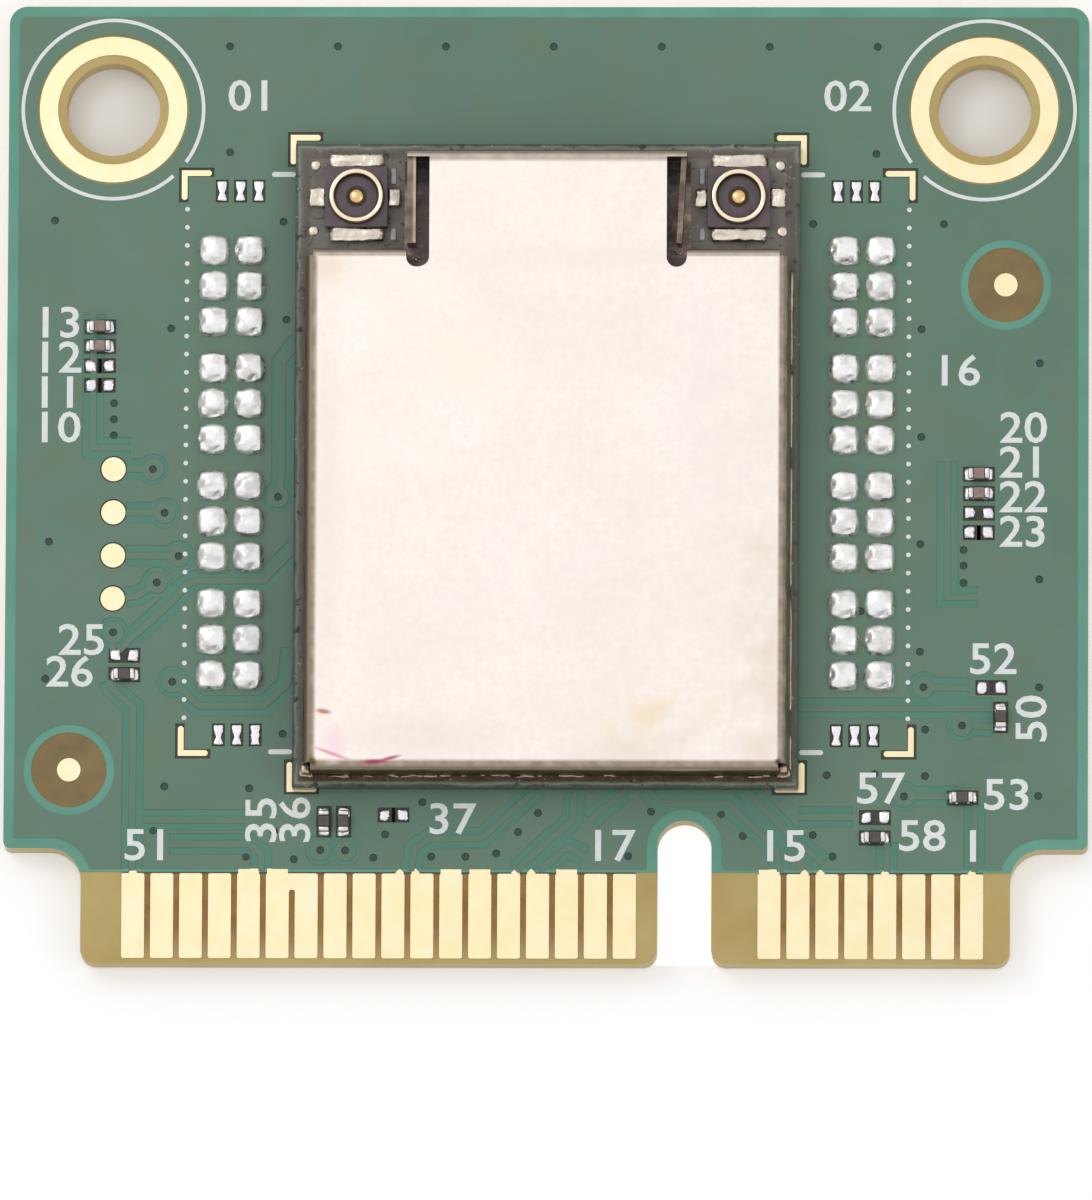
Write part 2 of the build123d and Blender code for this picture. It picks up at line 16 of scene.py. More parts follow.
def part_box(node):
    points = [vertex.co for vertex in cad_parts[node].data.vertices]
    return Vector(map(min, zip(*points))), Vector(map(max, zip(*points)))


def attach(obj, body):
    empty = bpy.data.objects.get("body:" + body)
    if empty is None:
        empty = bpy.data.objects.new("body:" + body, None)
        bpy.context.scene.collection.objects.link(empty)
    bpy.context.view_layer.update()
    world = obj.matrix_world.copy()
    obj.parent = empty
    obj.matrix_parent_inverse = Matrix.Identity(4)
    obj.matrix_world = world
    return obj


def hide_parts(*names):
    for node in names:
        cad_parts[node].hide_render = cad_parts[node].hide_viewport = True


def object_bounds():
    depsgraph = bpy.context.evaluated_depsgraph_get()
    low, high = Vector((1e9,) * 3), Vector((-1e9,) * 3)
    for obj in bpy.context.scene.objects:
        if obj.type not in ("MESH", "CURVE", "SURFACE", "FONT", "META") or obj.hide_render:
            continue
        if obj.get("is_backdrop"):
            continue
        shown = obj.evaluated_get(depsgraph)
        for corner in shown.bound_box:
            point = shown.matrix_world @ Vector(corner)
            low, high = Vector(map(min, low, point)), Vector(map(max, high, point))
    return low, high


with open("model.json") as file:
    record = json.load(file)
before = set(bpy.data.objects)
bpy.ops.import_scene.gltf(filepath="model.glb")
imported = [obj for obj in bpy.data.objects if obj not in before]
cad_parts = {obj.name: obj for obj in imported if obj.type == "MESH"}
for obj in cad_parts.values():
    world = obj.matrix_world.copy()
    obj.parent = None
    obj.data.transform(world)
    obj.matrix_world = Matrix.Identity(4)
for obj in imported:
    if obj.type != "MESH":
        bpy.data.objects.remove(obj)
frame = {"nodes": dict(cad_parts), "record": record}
nodes = frame["nodes"]
first_low, first_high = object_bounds()
MM = 0.001
print("nodes:", len(nodes), "size in mm:", [round(side / MM, 2) for side in first_high - first_low])

# %% [markdown]
# The card lies on a pale floor and is seen almost straight down, from far away through a long lens,
# so its edges stay parallel. The camera leans 8 degrees towards the contacts, which shows the front
# walls of the can. The pose is given as a place and three turns.

# %% Camera
CAMERA_PLACE = (18.36, -101.71, 691.62)
CAMERA_TURNS = (8.119, 1.482, 0.292)
LENS_LENGTH = 756

camera_data = bpy.data.cameras.new("camera")
camera_data.lens = LENS_LENGTH
camera_data.sensor_width = 36
camera_data.clip_start = 0.1
camera_data.clip_end = 5
camera = bpy.data.objects.new("camera", camera_data)
camera.location = Vector(CAMERA_PLACE) * MM
camera.rotation_euler = [math.radians(angle) for angle in CAMERA_TURNS]
bpy.context.collection.objects.link(camera)
bpy.context.scene.camera = camera
print("camera height in mm:", round(camera.location.z / MM, 1))

# %% [markdown]
# The world, the floor and every finish are nets of shader nodes. The helpers below make one node with
# all its values and links in a call, and return the socket that the next call needs, so that a net
# reads like a formula. Colours are given as screen values and turned into the linear values that
# shaders use.

# %% Node helpers


def linear(red, green, blue):
    """A colour given as screen values from 0 to 255, as linear values."""
    channels = [value / 255 for value in (red, green, blue)]
    values = [c / 12.92 if c <= 0.04045 else ((c + 0.055) / 1.055) ** 2.4 for c in channels]
    return (*values, 1)


def set_socket(tree, value, socket):
    """Put a value or a screen colour on a socket, or link another socket to it."""
    if isinstance(value, bpy.types.NodeSocket):
        tree.links.new(value, socket)
    elif socket.type == "RGBA" and len(value) == 3:
        socket.default_value = linear(*value)
    else:
        socket.default_value = value


def new_node(tree, kind, inputs, **settings):
    """A new node with its settings, and a value or a link on each input that is named."""
    node = tree.nodes.new("ShaderNode" + kind)
    for name, value in settings.items():
        setattr(node, name, value)
    for name, value in inputs.items():
        set_socket(tree, value, node.inputs[name])
    return node


def combine(tree, operation, result, *others):
    """Sockets or values joined by one operation, such as ADD or MAXIMUM."""
    for other in others:
        result = new_node(tree, "Math", {0: result, 1: other}, operation=operation).outputs["Value"]
    return result


def product(tree, first, second):
    """Two sockets or values multiplied."""
    return combine(tree, "MULTIPLY", first, second)


def ramp(tree, factor, low, high, below=0.0, above=1.0):
    """One value below low and another above high, straight between."""
    inputs = {"Value": factor, "From Min": low, "From Max": high, "To Min": below, "To Max": above}
    return new_node(tree, "MapRange", inputs).outputs["Result"]


def ray_mix(tree, rays, seen, other):
    """The first value for the named kinds of ray, and the other for the rest."""
    path = new_node(tree, "LightPath", {})
    factor = combine(tree, "MAXIMUM", *[path.outputs[ray] for ray in rays])
    return new_node(tree, "Mix", {"Factor": factor, "A": other, "B": seen}).outputs["Result"]


print("screen grey 128 as a linear value:", round(linear(128, 128, 128)[0], 3))

# %% [markdown]
# Shiny metal shows what is around it, so the light is what makes it look like metal. A pale world
# gives the even fill, and two broad soft lamps give the small bright spots on solder and gold. The
# world is plain white for camera rays, dimmer as a light, and for mirror rays a bright ceiling over
# darker walls, so that the background is white without washing out the card.

# %% World and lamps
WORLD_LIGHT = 0.62
CEILING_SHINE = 0.95
WALL_SHINE = 0.35
WALL_TOP = 0.2
CEILING_EDGE = 0.75


def make_world():
    """White background, a dimmer light, and a bright ceiling over dimmer walls for reflections."""
    world = bpy.data.worlds.new("studio")
    world.use_nodes = True
    tree = world.node_tree
    direction = new_node(tree, "TexCoord", {}).outputs["Generated"]
    height = new_node(tree, "SeparateXYZ", {"Vector": direction}).outputs["Z"]
    ceiling = ramp(tree, height, WALL_TOP, CEILING_EDGE, WALL_SHINE, CEILING_SHINE)
    shine = ray_mix(tree, ["Is Glossy Ray"], ceiling, WORLD_LIGHT)
    background = tree.nodes["Background"].inputs
    strength = ray_mix(tree, ["Is Camera Ray", "Is Transmission Ray"], 1.0, shine)
    set_socket(tree, strength, background["Strength"])
    background["Color"].default_value = (1, 1, 1, 1)
    bpy.context.scene.world = world


def make_lamp(name, place, size, watts):
    """A square soft lamp that points at the card."""
    lamp = bpy.data.lights.new(name, "AREA")
    lamp.size = size * MM
    lamp.energy = watts
    holder = bpy.data.objects.new(name, lamp)
    holder.location = Vector(place) * MM
    holder.rotation_euler = (-holder.location).to_track_quat("-Z", "Y").to_euler()
    bpy.context.collection.objects.link(holder)


make_world()
make_lamp("key_lamp", (-90, 70, 160), 90, 0.05)
make_lamp("side_lamp", (120, -40, 120), 60, 0.02)
bpy.context.scene.view_settings.view_transform = "Standard"
print("lamps:", [lamp.name for lamp in bpy.data.lights])

# %% [markdown]
# Every finish is a Principled shader. Most real surfaces aren't one flat colour, so the helpers mix
# near colours with soft noise on Object coordinates, and can roughen the surface with a second, finer
# noise through a Bump node. Each finish is kept under its name, by which the pieces call it.

# %% Finish helpers
finishes = {}


def place_socket(tree):
    """The place on the piece, in millimetres."""
    inputs = {0: new_node(tree, "TexCoord", {}).outputs["Object"], "Scale": 1 / MM}
    return new_node(tree, "VectorMath", inputs, operation="SCALE").outputs["Vector"]


def axis_socket(tree, axis):
    """One of the three parts of the place on the piece, in millimetres."""
    return new_node(tree, "SeparateXYZ", {"Vector": place_socket(tree)}).outputs[axis]


def noise_socket(tree, per_mm, detail):
    """A soft noise of values round a half."""
    inputs = {"Vector": place_socket(tree), "Scale": per_mm, "Detail": detail}
    return new_node(tree, "TexNoise", inputs).outputs["Fac"]


def cloud(tree, per_mm, detail, low, high):
    """Soft clouds, 0 where the noise is below low and 1 where it is above high."""
    return ramp(tree, noise_socket(tree, per_mm, detail), low, high)


def mix_colours(tree, factor, first, second):
    """First colour where the factor is 0, second where it is 1. Each may be a socket."""
    return new_node(tree, "Mix", {"Factor": factor, 6: first, 7: second}, data_type="RGBA").outputs[2]


def base_mix(material, factor, paint):
    """Mix one more colour over what a material already has."""
    tree = material.node_tree
    base = tree.nodes["Principled BSDF"].inputs["Base Color"]
    under = base.links[0].from_socket if base.links else tuple(base.default_value)
    set_socket(tree, mix_colours(tree, factor, under, paint), base)


def finish(name, paint, other=None, per_mm=1.0, roughness=0.5, metallic=0.0, grain=0.0, grain_per_mm=10.0):
    """A material of one colour, or of two in soft clouds, with an optional fine roughness."""
    material = bpy.data.materials.new(name)
    material.use_nodes = True
    tree = material.node_tree
    shader = tree.nodes["Principled BSDF"].inputs
    for socket, value in (("Base Color", paint), ("Roughness", roughness), ("Metallic", metallic)):
        set_socket(tree, value, shader[socket])
    if other:
        base_mix(material, cloud(tree, per_mm, 3.0, 0.3, 0.7), other)
    if grain:
        inputs = {"Distance": grain * MM, "Height": noise_socket(tree, grain_per_mm, 4.0)}
        set_socket(tree, new_node(tree, "Bump", inputs).outputs["Normal"], shader["Normal"])
    finishes[name] = material
    return material


print("finishes so far:", len(finishes))

# %% [markdown]
# The floor is a plain pale sheet under the card. It stays in the scene as stage, so it isn't part of
# the object. Its shader adds a little light of its own for camera and mirror rays, which lifts it to
# white and still lets the soft shadow of the card show. This light is weaker where the floor shows
# through the mounting holes, so that the shade there shows, and a little stronger in the narrow
# notch between the contacts, as painted light that washes out the card's shadow there.

# %% Floor
FLOOR_GLOW = 0.3
SHADE_GLOW = -0.22
NOTCH_GLOW = 0.4
HOLES_BOX = (0, 10.5, 13.6, 2.0, 0.6)
NOTCH_BOX = (3.85, -11.25, 1.0, 1.95, 0.15)
FLOOR_HALF = 0.6
FLOOR_DROP = 0.01


def off_middle(tree, x, y):
    """How far a place is from a middle, along each axis."""
    inputs = {0: place_socket(tree), 1: (-x, -y, 0)}
    shift = new_node(tree, "VectorMath", inputs, operation="ADD").outputs["Vector"]
    distance = new_node(tree, "VectorMath", {0: shift}, operation="ABSOLUTE").outputs["Vector"]
    return new_node(tree, "SeparateXYZ", {"Vector": distance}).outputs


def inside_box(tree, x, y, half_x, half_y, soft):
    """1 inside a rectangle of the sheet and 0 outside, with a soft edge."""
    away = off_middle(tree, x, y)
    along = ramp(tree, away["X"], half_x + soft, half_x)
    return product(tree, along, ramp(tree, away["Y"], half_y + soft, half_y))


floor_mesh = bmesh.new()
bmesh.ops.create_grid(floor_mesh, x_segments=1, y_segments=1, size=FLOOR_HALF)
bmesh.ops.translate(floor_mesh, verts=floor_mesh.verts, vec=(0, 0, -FLOOR_DROP * MM))
floor_data = bpy.data.meshes.new("floor")
floor_mesh.to_mesh(floor_data)
floor_mesh.free()
floor = bpy.data.objects.new("floor", floor_data)
bpy.context.collection.objects.link(floor)
floor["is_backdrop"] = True

floor_sheet = finish("floor_sheet", (250, 249, 250), roughness=0.9)
tree = floor_sheet.node_tree
floor_shader = tree.nodes["Principled BSDF"].inputs
floor_shader["Emission Color"].default_value = (1, 1, 1, 1)
in_holes = product(tree, inside_box(tree, *HOLES_BOX), SHADE_GLOW)
# Painted light in the narrow notch, which washes out the card's shadow there.
painted_notch_light = product(tree, inside_box(tree, *NOTCH_BOX), NOTCH_GLOW)
glow = combine(tree, "ADD", in_holes, painted_notch_light, FLOOR_GLOW)
rays = ["Is Camera Ray", "Is Glossy Ray", "Is Transmission Ray"]
set_socket(tree, ray_mix(tree, rays, glow, 0.0), floor_shader["Emission Strength"])
floor.data.materials.append(floor_sheet)
print("floor side in m:", 2 * FLOOR_HALF)

# %% [markdown]
# The frame's own nodes get their finish by the material slot that the record gives them. The green
# lacquer is more than a colour: it is olive in soft patches and beside the module, and shows faint
# threads of the glass cloth below. A stain is an ellipse of another colour with a cloudy edge.

# %% Finishes of the slots
finish("green_lacquer", (100, 132, 112), (110, 137, 119), 0.35, 0.36, grain=0.002)
finish("laminate", (206, 184, 118), (194, 168, 100), 0.5, 0.45)
finish("gold_plating", (255, 243, 205), (254, 236, 188), 1.5, 0.34, 1.0, grain=0.002)
finish("gold_shell", (245, 215, 165), (225, 190, 140), 4.0, 0.22, 1.0)
finish("gold_contact", (240, 195, 110), roughness=0.2, metallic=1.0)
finish("solder", (244, 245, 248), (228, 228, 232), 3.0, 0.3, 1.0, grain=0.03, grain_per_mm=6.0)
finish("tinned_ends", (215, 212, 206), (170, 165, 160), 4.0, 0.3, 1.0)
finish("tinned_steel", (252, 243, 234), (251, 238, 226), 0.4, 0.35, 1.0)
finish("capacitor_ceramic", (158, 138, 124), (140, 120, 108), 4.0, 0.45)
finish("resistor_ceramic", (62, 56, 56), (80, 72, 70), 4.0, 0.4)
finish("chip_moulding", (40, 40, 42), roughness=0.5)
finish("ferrite", (70, 68, 68), roughness=0.6)
finish("connector_moulding", (106, 92, 97), (90, 78, 84), 3.0, 0.4)
finish("white_print", (255, 255, 255), (236, 248, 242), 3.0, 0.6)
finish("dark_lacquer", (92, 88, 76), (70, 70, 60), 1.2, 0.35, grain=0.01, grain_per_mm=3.0)


def weave(material, paint, strength):
    """Faint threads along both sides of the board, as of the glass cloth under a lacquer."""
    tree = material.node_tree
    for stretched in ((0.5, 7.0, 1.0), (7.0, 0.5, 1.0)):
        stretch = new_node(tree, "Mapping", {"Vector": place_socket(tree), "Scale": stretched})
        inputs = {"Vector": stretch.outputs["Vector"], "Scale": 1.0}
        threads = new_node(tree, "TexNoise", inputs).outputs["Fac"]
        base_mix(material, product(tree, ramp(tree, threads, 0.42, 0.66), strength), paint)


def stain(material, x, y, length, width, turn, paint, strength, cloud_per_mm):
    """A worn patch of another colour, an ellipse whose edge is cloudy unless the clouds are 0."""
    tree = material.node_tree
    inputs = {
        "Vector": place_socket(tree),
        "Location": (x, y, 0),
        "Rotation": (0, 0, math.radians(turn)),
        "Scale": (length / 2, width / 2, 100),
    }
    mapping = new_node(tree, "Mapping", inputs, vector_type="TEXTURE").outputs["Vector"]
    reach = new_node(tree, "VectorMath", {0: mapping}, operation="LENGTH").outputs["Value"]
    inside = ramp(tree, reach, 1.0, 0.35)
    if cloud_per_mm:
        inside = product(tree, inside, cloud(tree, cloud_per_mm, 3.0, 0.38, 0.62))
    base_mix(material, product(tree, inside, strength), paint)


def paint_node(name, paint):
    """Give a node of the frame one finish."""
    materials = nodes[name].data.materials
    materials.clear()
    materials.append(paint)


lacquer_look = finishes["green_lacquer"]
for side in (-1, 1):
    stain(lacquer_look, side * 9.1, 0, 3.4, 17, 0, (112, 130, 100), 0.45, 0.7)
olive_cloud = cloud(lacquer_look.node_tree, 0.8, 3.0, 0.5, 0.68)
base_mix(lacquer_look, product(lacquer_look.node_tree, olive_cloud, 0.4), (114, 128, 98))
weave(lacquer_look, (92, 140, 120), 0.3)
for row in frame["record"]["subparts"]:
    paint_node(row["node"], finishes[row["material_slot"]])
print("finishes:", len(finishes))

# %% [markdown]
# Most new pieces are thin and flat, so they are drawn from a few shapes in millimetres: a slab, a
# disc, and a ribbon that follows a path with mitred bends, as a milled groove or a printed line does.
# A face of the drawing carries the number of its finish, so one piece can have several. Where two
# shapes overlap, one lies a hair lower, because two faces on one level would flicker.

# %% Drawing helpers
HAIR = 0.0003


def each_once(items):
    """The items in the order in which they come, each only once."""
    return list(dict.fromkeys(items))


def paint_round(verts, paint):
    """Give the faces round some points the number of their finish."""
    for vert in verts:
        for face in vert.link_faces:
            face.material_index = paint


def slab(mesh, x, y, width, length, low, high):
    """A flat box between two levels."""
    matrix = Matrix.Translation((x, y, (low + high) / 2)) @ Matrix.Diagonal((width, length, high - low, 1))
    return bmesh.ops.create_cube(mesh, size=1, matrix=matrix)["verts"]


def plate(mesh, low, high, bottom, top, margin=0.0):
    """A slab over the area between two corners, wider by a margin."""
    middle, size = (low + high) / 2, high - low + Vector((margin, margin, 0))
    return slab(mesh, middle.x, middle.y, size.x, size.y, bottom, top)


def disc(mesh, x, y, radius, low, high, paint=0, sides=24, top_radius=None):
    """A round plate, or a cone if it has another radius at the top."""
    matrix = Matrix.Translation((x, y, (low + high) / 2))
    top = radius if top_radius is None else top_radius
    made = bmesh.ops.create_cone(
        mesh, cap_ends=True, segments=sides, radius1=radius, radius2=top, depth=high - low, matrix=matrix
    )
    paint_round(made["verts"], paint)


def mitre(points, place):
    """Sideways vector at a point of a path, longer at a bend so that the width stays even."""
    before = points[place] - points[max(place - 1, 0)]
    after = points[min(place + 1, len(points) - 1)] - points[place]
    before = before.normalized() if before.length else after.normalized()
    after = after.normalized() if after.length else before
    middle = (before + after).normalized()
    return Vector((-middle.y, middle.x)) / max(middle.dot(after), 0.4)


def ribbon(mesh, path, width, low, high, paint=0):
    """An upright rectangle extruded along a path."""
    points = [Vector(point) for point in path]
    sections = []
    for place, point in enumerate(points):
        reach = mitre(points, place) * width / 2
        left, right = point + reach, point - reach
        sections.append([(*left, low), (*right, low), (*right, high), (*left, high)])
    face = mesh.faces.new([mesh.verts.new(corner) for corner in sections[0]])
    verts, first_edges = list(face.verts), list(face.edges)
    for section in sections[1:]:
        face = bmesh.ops.extrude_discrete_faces(mesh, faces=[face])["faces"][0]
        for vert, corner in zip(face.verts, section):
            vert.co = corner
        verts += face.verts
    open_edges = [edge for edge in first_edges if edge.is_valid and edge.is_boundary]
    bmesh.ops.holes_fill(mesh, edges=open_edges, sides=4)
    faces = each_once(linked for vert in verts if vert.is_valid for linked in vert.link_faces)
    bmesh.ops.recalc_face_normals(mesh, faces=faces)
    for linked in faces:
        linked.material_index = paint


def soft_line(mesh, path, width, low, high):
    """A ribbon with round ends."""
    ribbon(mesh, path, width, low, high)
    for x, y in (path[0], path[-1]):
        disc(mesh, x, y, width / 2, low, high - HAIR)


def arc(x, y, radius, start, end, steps=8):
    """Points of an arc, its angles in degrees."""
    angles = [math.radians(start + (end - start) * step / steps) for step in range(steps + 1)]
    return [(x + radius * math.cos(angle), y + radius * math.sin(angle)) for angle in angles]


print("points of a quarter circle:", len(arc(0, 0, 1, 0, 90)))

# %% [markdown]
# A finished drawing becomes an object at the origin, scaled to metres, and then a piece of the card
# that rides on its one body. A piece may stand for nodes of the frame, which are then hidden. Many
# nodes hold a row of equal solids, such as the contacts, so the last helper finds the box of each
# solid. A finer piece can then be put exactly where the CAD has a plain one.

# %% Pieces and solids
WELD_REACH = 0.0005


def object_of(name, mesh, paints, unit=MM):
    """A new object from a drawing, at the origin."""
    bmesh.ops.scale(mesh, vec=(unit, unit, unit), verts=mesh.verts)
    data = bpy.data.meshes.new(name)
    mesh.to_mesh(data)
    mesh.free()
    for paint in paints:
        data.materials.append(finishes[paint])
    made = bpy.data.objects.new(name, data)
    bpy.context.collection.objects.link(made)
    return made


def add_piece(name, mesh, paints, stands_for=(), smooth=False):
    """Put a drawing on the card as a piece, and hide the nodes that it stands for."""
    piece = object_of(name, mesh, paints)
    if smooth:
        for face in piece.data.polygons:
            face.use_smooth = True
    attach(piece, "root")
    if stands_for:
        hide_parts(*stands_for)
    print(piece.name, "faces:", len(piece.data.polygons))


def node_copy(name):
    """A node's mesh in millimetres, its loose triangles joined."""
    mesh = bmesh.new()
    mesh.from_mesh(nodes[name].data)
    bmesh.ops.scale(mesh, vec=(1 / MM,) * 3, verts=mesh.verts)
    bmesh.ops.remove_doubles(mesh, verts=mesh.verts, dist=WELD_REACH)
    return mesh


def box_of(name):
    """Lowest and highest corner of a node, in millimetres."""
    return [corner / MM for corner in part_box(name)]


def box_round(points):
    """Lowest and highest corner of the box round some points."""
    axes = list(zip(*points))
    return Vector([min(axis) for axis in axes]), Vector([max(axis) for axis in axes])


def solids_of(*names):
    """Lowest and highest corner of each separate solid of the nodes, in millimetres."""
    boxes = []
    for name in names:
        mesh = node_copy(name)
        waiting = dict.fromkeys(mesh.verts)
        while waiting:
            reached = [waiting.popitem()[0]]
            for vert in reached:
                for edge in vert.link_edges:
                    other = edge.other_vert(vert)
                    if other in waiting:
                        del waiting[other]
                        reached.append(other)
            boxes.append(box_round([vert.co for vert in reached]))
        mesh.free()
    return boxes


board_low, board_high = box_of("board_laminate")
mask_low, mask_high = box_of("solder_mask_top")
module_low, module_high = box_of("module_board")
LACQUER_TOP = mask_high.z
MODULE_TOP = module_high.z
print("lacquer edge:", round(mask_low.y, 2), "top:", round(LACQUER_TOP, 2))

# %% [markdown]
# Under the lacquer lies etched copper. Where the copper stops, the lacquer sinks a little and looks
# teal, because the pale laminate shines through. A copper track is then a dull line with a teal
# groove on each side, and the border of the board, where the copper keeps clear of the cut, is a
# teal band. The grooves are cut with Boolean modifiers, and the tracks put back inside them.

# %% Places of the tracks
GROOVE_WIDTH = 0.6
TRACK_WIDTH = 0.17
GROOVE_FLOOR = LACQUER_TOP - 0.02
VIA_FLOOR = LACQUER_TOP - 0.034
BORDER_WIDTH = 0.3
TONGUE_SIDE = 12.85
SHOULDER_Y = -10.2
ROOT_RADIUS = 0.9
CORNER_RADIUS = 0.5
NOTCH_X = 3.85
NOTCH_RADIUS = 0.75
NOTCH_ROUND_Y = -10.15

tracks = [
    [(-11.66, 0.4), (-11.15, 0.4)],
    [(-11.66, -0.81), (-10.82, -0.82)],
    [(-11.66, -2.02), (-10.42, -2.03)],
    [(-11.66, -3.2), (-11.35, -3.15), (-10.95, -2.9)],
    [(-11.9, -4.75), (-11.4, -4.25), (-10.4, -3.35), (-10.0, -2.85)]
    + [(-9.7, -2.72), (-7.85, -2.72), (-6.95, -1.8)],
    [(-12.0, -4.4), (-12.0, -4.75)],
    [(-10.15, -5.68), (-9.6, -6.22), (-7.8, -6.22), (-7.15, -5.6), (-7.05, -4.6)],
    [(-12.1, -5.5), (-12.0, -5.75), (-11.43, -6.25), (-11.43, -10.82)],
    [(-11.15, -9.41), (-8.3, -9.41)],
    [(-10.4, -10.08), (-8.2, -10.08), (-7.85, -10.35), (-7.85, -10.82)],
    [(-7.42, -0.15), (-7.35, 0.2), (-7.35, 3.4), (-6.9, 4.0)],
    [(-12.6, 4.75), (-12.6, 1.0), (-11.55, 1.0)],
    [(11.1, 0.65), (11.1, -3.15), (11.95, -3.15)],
    [(10.67, -5.68), (11.7, -5.7)],
    [(7.0, -6.26), (12.35, -6.26)],
    [(11.75, -6.74), (12.35, -6.76)],
    [(10.15, -8.72), (11.4, -8.72)],
    [(7.0, -9.3), (8.5, -9.3)],
    [(9.45, -10.0), (9.45, -10.82)],
    [(11.87, -8.95), (11.87, -10.82)],
    [(-3.7, -10.82), (-3.6, -10.2), (-3.2, -9.93), (-1.75, -9.9), (-0.2, -8.5)],
    [(-0.8, -10.82), (0.14, -9.93), (0.75, -9.42), (0.82, -8.6)],
    [(-0.15, -10.82), (0.62, -10.15), (1.1, -10.4)],
    [(1.25, -9.4), (1.5, -9.15), (2.2, -8.6)],
    [(2.8, -8.5), (3.2, -8.92), (5.05, -8.92), (6.4, -10.2), (6.5, -10.82)],
    [(5.5, -8.5), (6.85, -9.9), (7.7, -10.6)],
]
vias = [
    *[(-8.87 + 3.0 * place, 12.28) for place in range(7)],
    *[(-8.85, 9.3), (9.1, 9.27), (-13.7, 7.38), (-7.35, 7.35), (7.35, 7.3), (10.98, 7.3)],
    *[(-10.45, 4.35), (-7.25, 4.6), (10.37, 4.35), (13.65, 3.4), (10.37, 1.33)],
    *[(-12.02, 2.25), (-12.02, 1.8), (-12.02, 1.35), (11.55, -1.83), (11.55, -2.27), (11.55, -2.75)],
    *[(-13.8, -1.63), (-13.87, -5.47), (-7.28, -7.0), (-10.55, -8.47), (-8.2, -8.52), (-10.85, -9.7)],
    *[(-7.5, -9.72), (-8.27, -10.43), (-6.95, -10.5), (-4.75, -10.45)],
    *[(-4.43, -9.8), (-3.15, -10.42), (-2.2, -10.42), (-1.35, -10.33), (-0.75, -9.73), (-0.2, -9.2)],
    *[(2.93, -9.15), (2.3, -10.4), (4.87, -9.22), (5.47, -9.83), (7.4, -9.8), (7.95, -10.4)],
    *[(7.78, -8.13), (9.1, -8.1), (10.5, -8.15), (10.5, -6.85), (13.65, -5.67)],
    *[(13.65, -2.65), (10.35, -1.67), (10.35, -4.68), (8.7, -3.55), (13.63, -8.7), (-3.4, -8.9)],
]
ringed_vias = [
    *[(-10.93, 0.4), (-10.6, -0.82), (-10.2, -2.03), (-10.8, -2.77), (-12.0, -4.17)],
    *[(-7.45, -0.37), (-10.35, -5.55), (10.45, -5.67), (11.52, -6.74), (9.92, -8.72)],
    *[(-6.22, -10.24), (-5.53, -10.25)],
]
print("tracks:", len(tracks), "vias:", len(vias) + len(ringed_vias))

# %% [markdown]
# The cutters are two drawings. The grooves are teal beside the tracks and paler along the border, and
# the dimples are dark, for the vias, which are the small plated holes that join the copper layers. A
# Boolean gives the cut faces the finish of the cutter. The exact solver is used with self
# intersection on, because the grooves cross each other. Floors and tops that would lie on one level
# are set apart by a tiny step.

# %% Lacquer with its grooves
VIA_RADIUS = 0.115
VIA_RING = 0.44
TRACK_END = 0.3
TARGET_RADIUS = 1.27
EDGE_LINE = 0.16
TEAL, BORDER, DARK = 1, 2, 3
LEVEL_STEP = 0.0001
CUT_OVER = 0.05
SINK = 0.01
RING_DROP = 0.0004
TRACK_DROP = 0.0006
NOTCH_STEPS = 16

finish("teal_lacquer", (84, 138, 120), (92, 142, 121), 0.6, 0.34)
finish("border_lacquer", (110, 172, 152), (99, 160, 139), 0.6, 0.34)
finish("via_lacquer", (46, 76, 62), roughness=0.3)
LACQUERS = ["green_lacquer", "teal_lacquer", "border_lacquer", "via_lacquer"]


def cut(target, cutter):
    """Cut one drawing with another and give back the result as a drawing."""
    holders = []
    for name, mesh in (("cut_target", target), ("cutter", cutter)):
        bmesh.ops.recalc_face_normals(mesh, faces=mesh.faces)
        holders.append(object_of(name, mesh, LACQUERS, 1.0))
    modifier = holders[0].modifiers.new("cut", "BOOLEAN")
    modifier.operation = "DIFFERENCE"
    modifier.solver = "EXACT"
    modifier.use_self = True
    modifier.object = holders[1]
    evaluated = holders[0].evaluated_get(bpy.context.evaluated_depsgraph_get())
    result = bmesh.new()
    result.from_mesh(evaluated.to_mesh())
    for holder in holders:
        bpy.data.objects.remove(holder)
    return result


def border_path():
    """The board's outline from one side of the tongue to the other, over the top."""
    root = arc(-TONGUE_SIDE - ROOT_RADIUS, SHOULDER_Y - ROOT_RADIUS, ROOT_RADIUS, 0, 90)
    corner_x, corner_y = board_low.x + CORNER_RADIUS, board_high.y - CORNER_RADIUS
    left = [*root, (board_low.x, SHOULDER_Y), *arc(corner_x, corner_y, CORNER_RADIUS, 180, 90)]
    return left + [(-x, y) for x, y in reversed(left)]


def notch_path():
    """Up one side of the key notch, over its round end and down the other side."""
    below = mask_low.y - BORDER_WIDTH
    over = arc(NOTCH_X, NOTCH_ROUND_Y, NOTCH_RADIUS, 180, 0, NOTCH_STEPS)
    return [(NOTCH_X - NOTCH_RADIUS, below), *over, (NOTCH_X + NOTCH_RADIUS, below)]


above = LACQUER_TOP + CUT_OVER
grooves = bmesh.new()
for path in (border_path(), notch_path()):
    ribbon(grooves, path, 2 * BORDER_WIDTH, GROOVE_FLOOR, above, BORDER)
edge_ends = [(-TONGUE_SIDE - 1, mask_low.y), (TONGUE_SIDE + 1, mask_low.y)]
ribbon(grooves, edge_ends, EDGE_LINE, GROOVE_FLOOR, above, BORDER)
for number, path in enumerate(tracks):
    step = LEVEL_STEP * (number + 1)
    ribbon(grooves, path, GROOVE_WIDTH, GROOVE_FLOOR + step, above + step, TEAL)
for number, (x, y) in enumerate(ringed_vias):
    step = LEVEL_STEP * (number + 1.5)
    disc(grooves, x, y, VIA_RING, GROOVE_FLOOR + step, above + step, TEAL)
for low, high in solids_of("alignment_dots"):
    middle = (low + high) / 2
    disc(grooves, middle.x, middle.y, TARGET_RADIUS, GROOVE_FLOOR, above, BORDER, 48)
lacquer = cut(node_copy("solder_mask_top"), grooves)

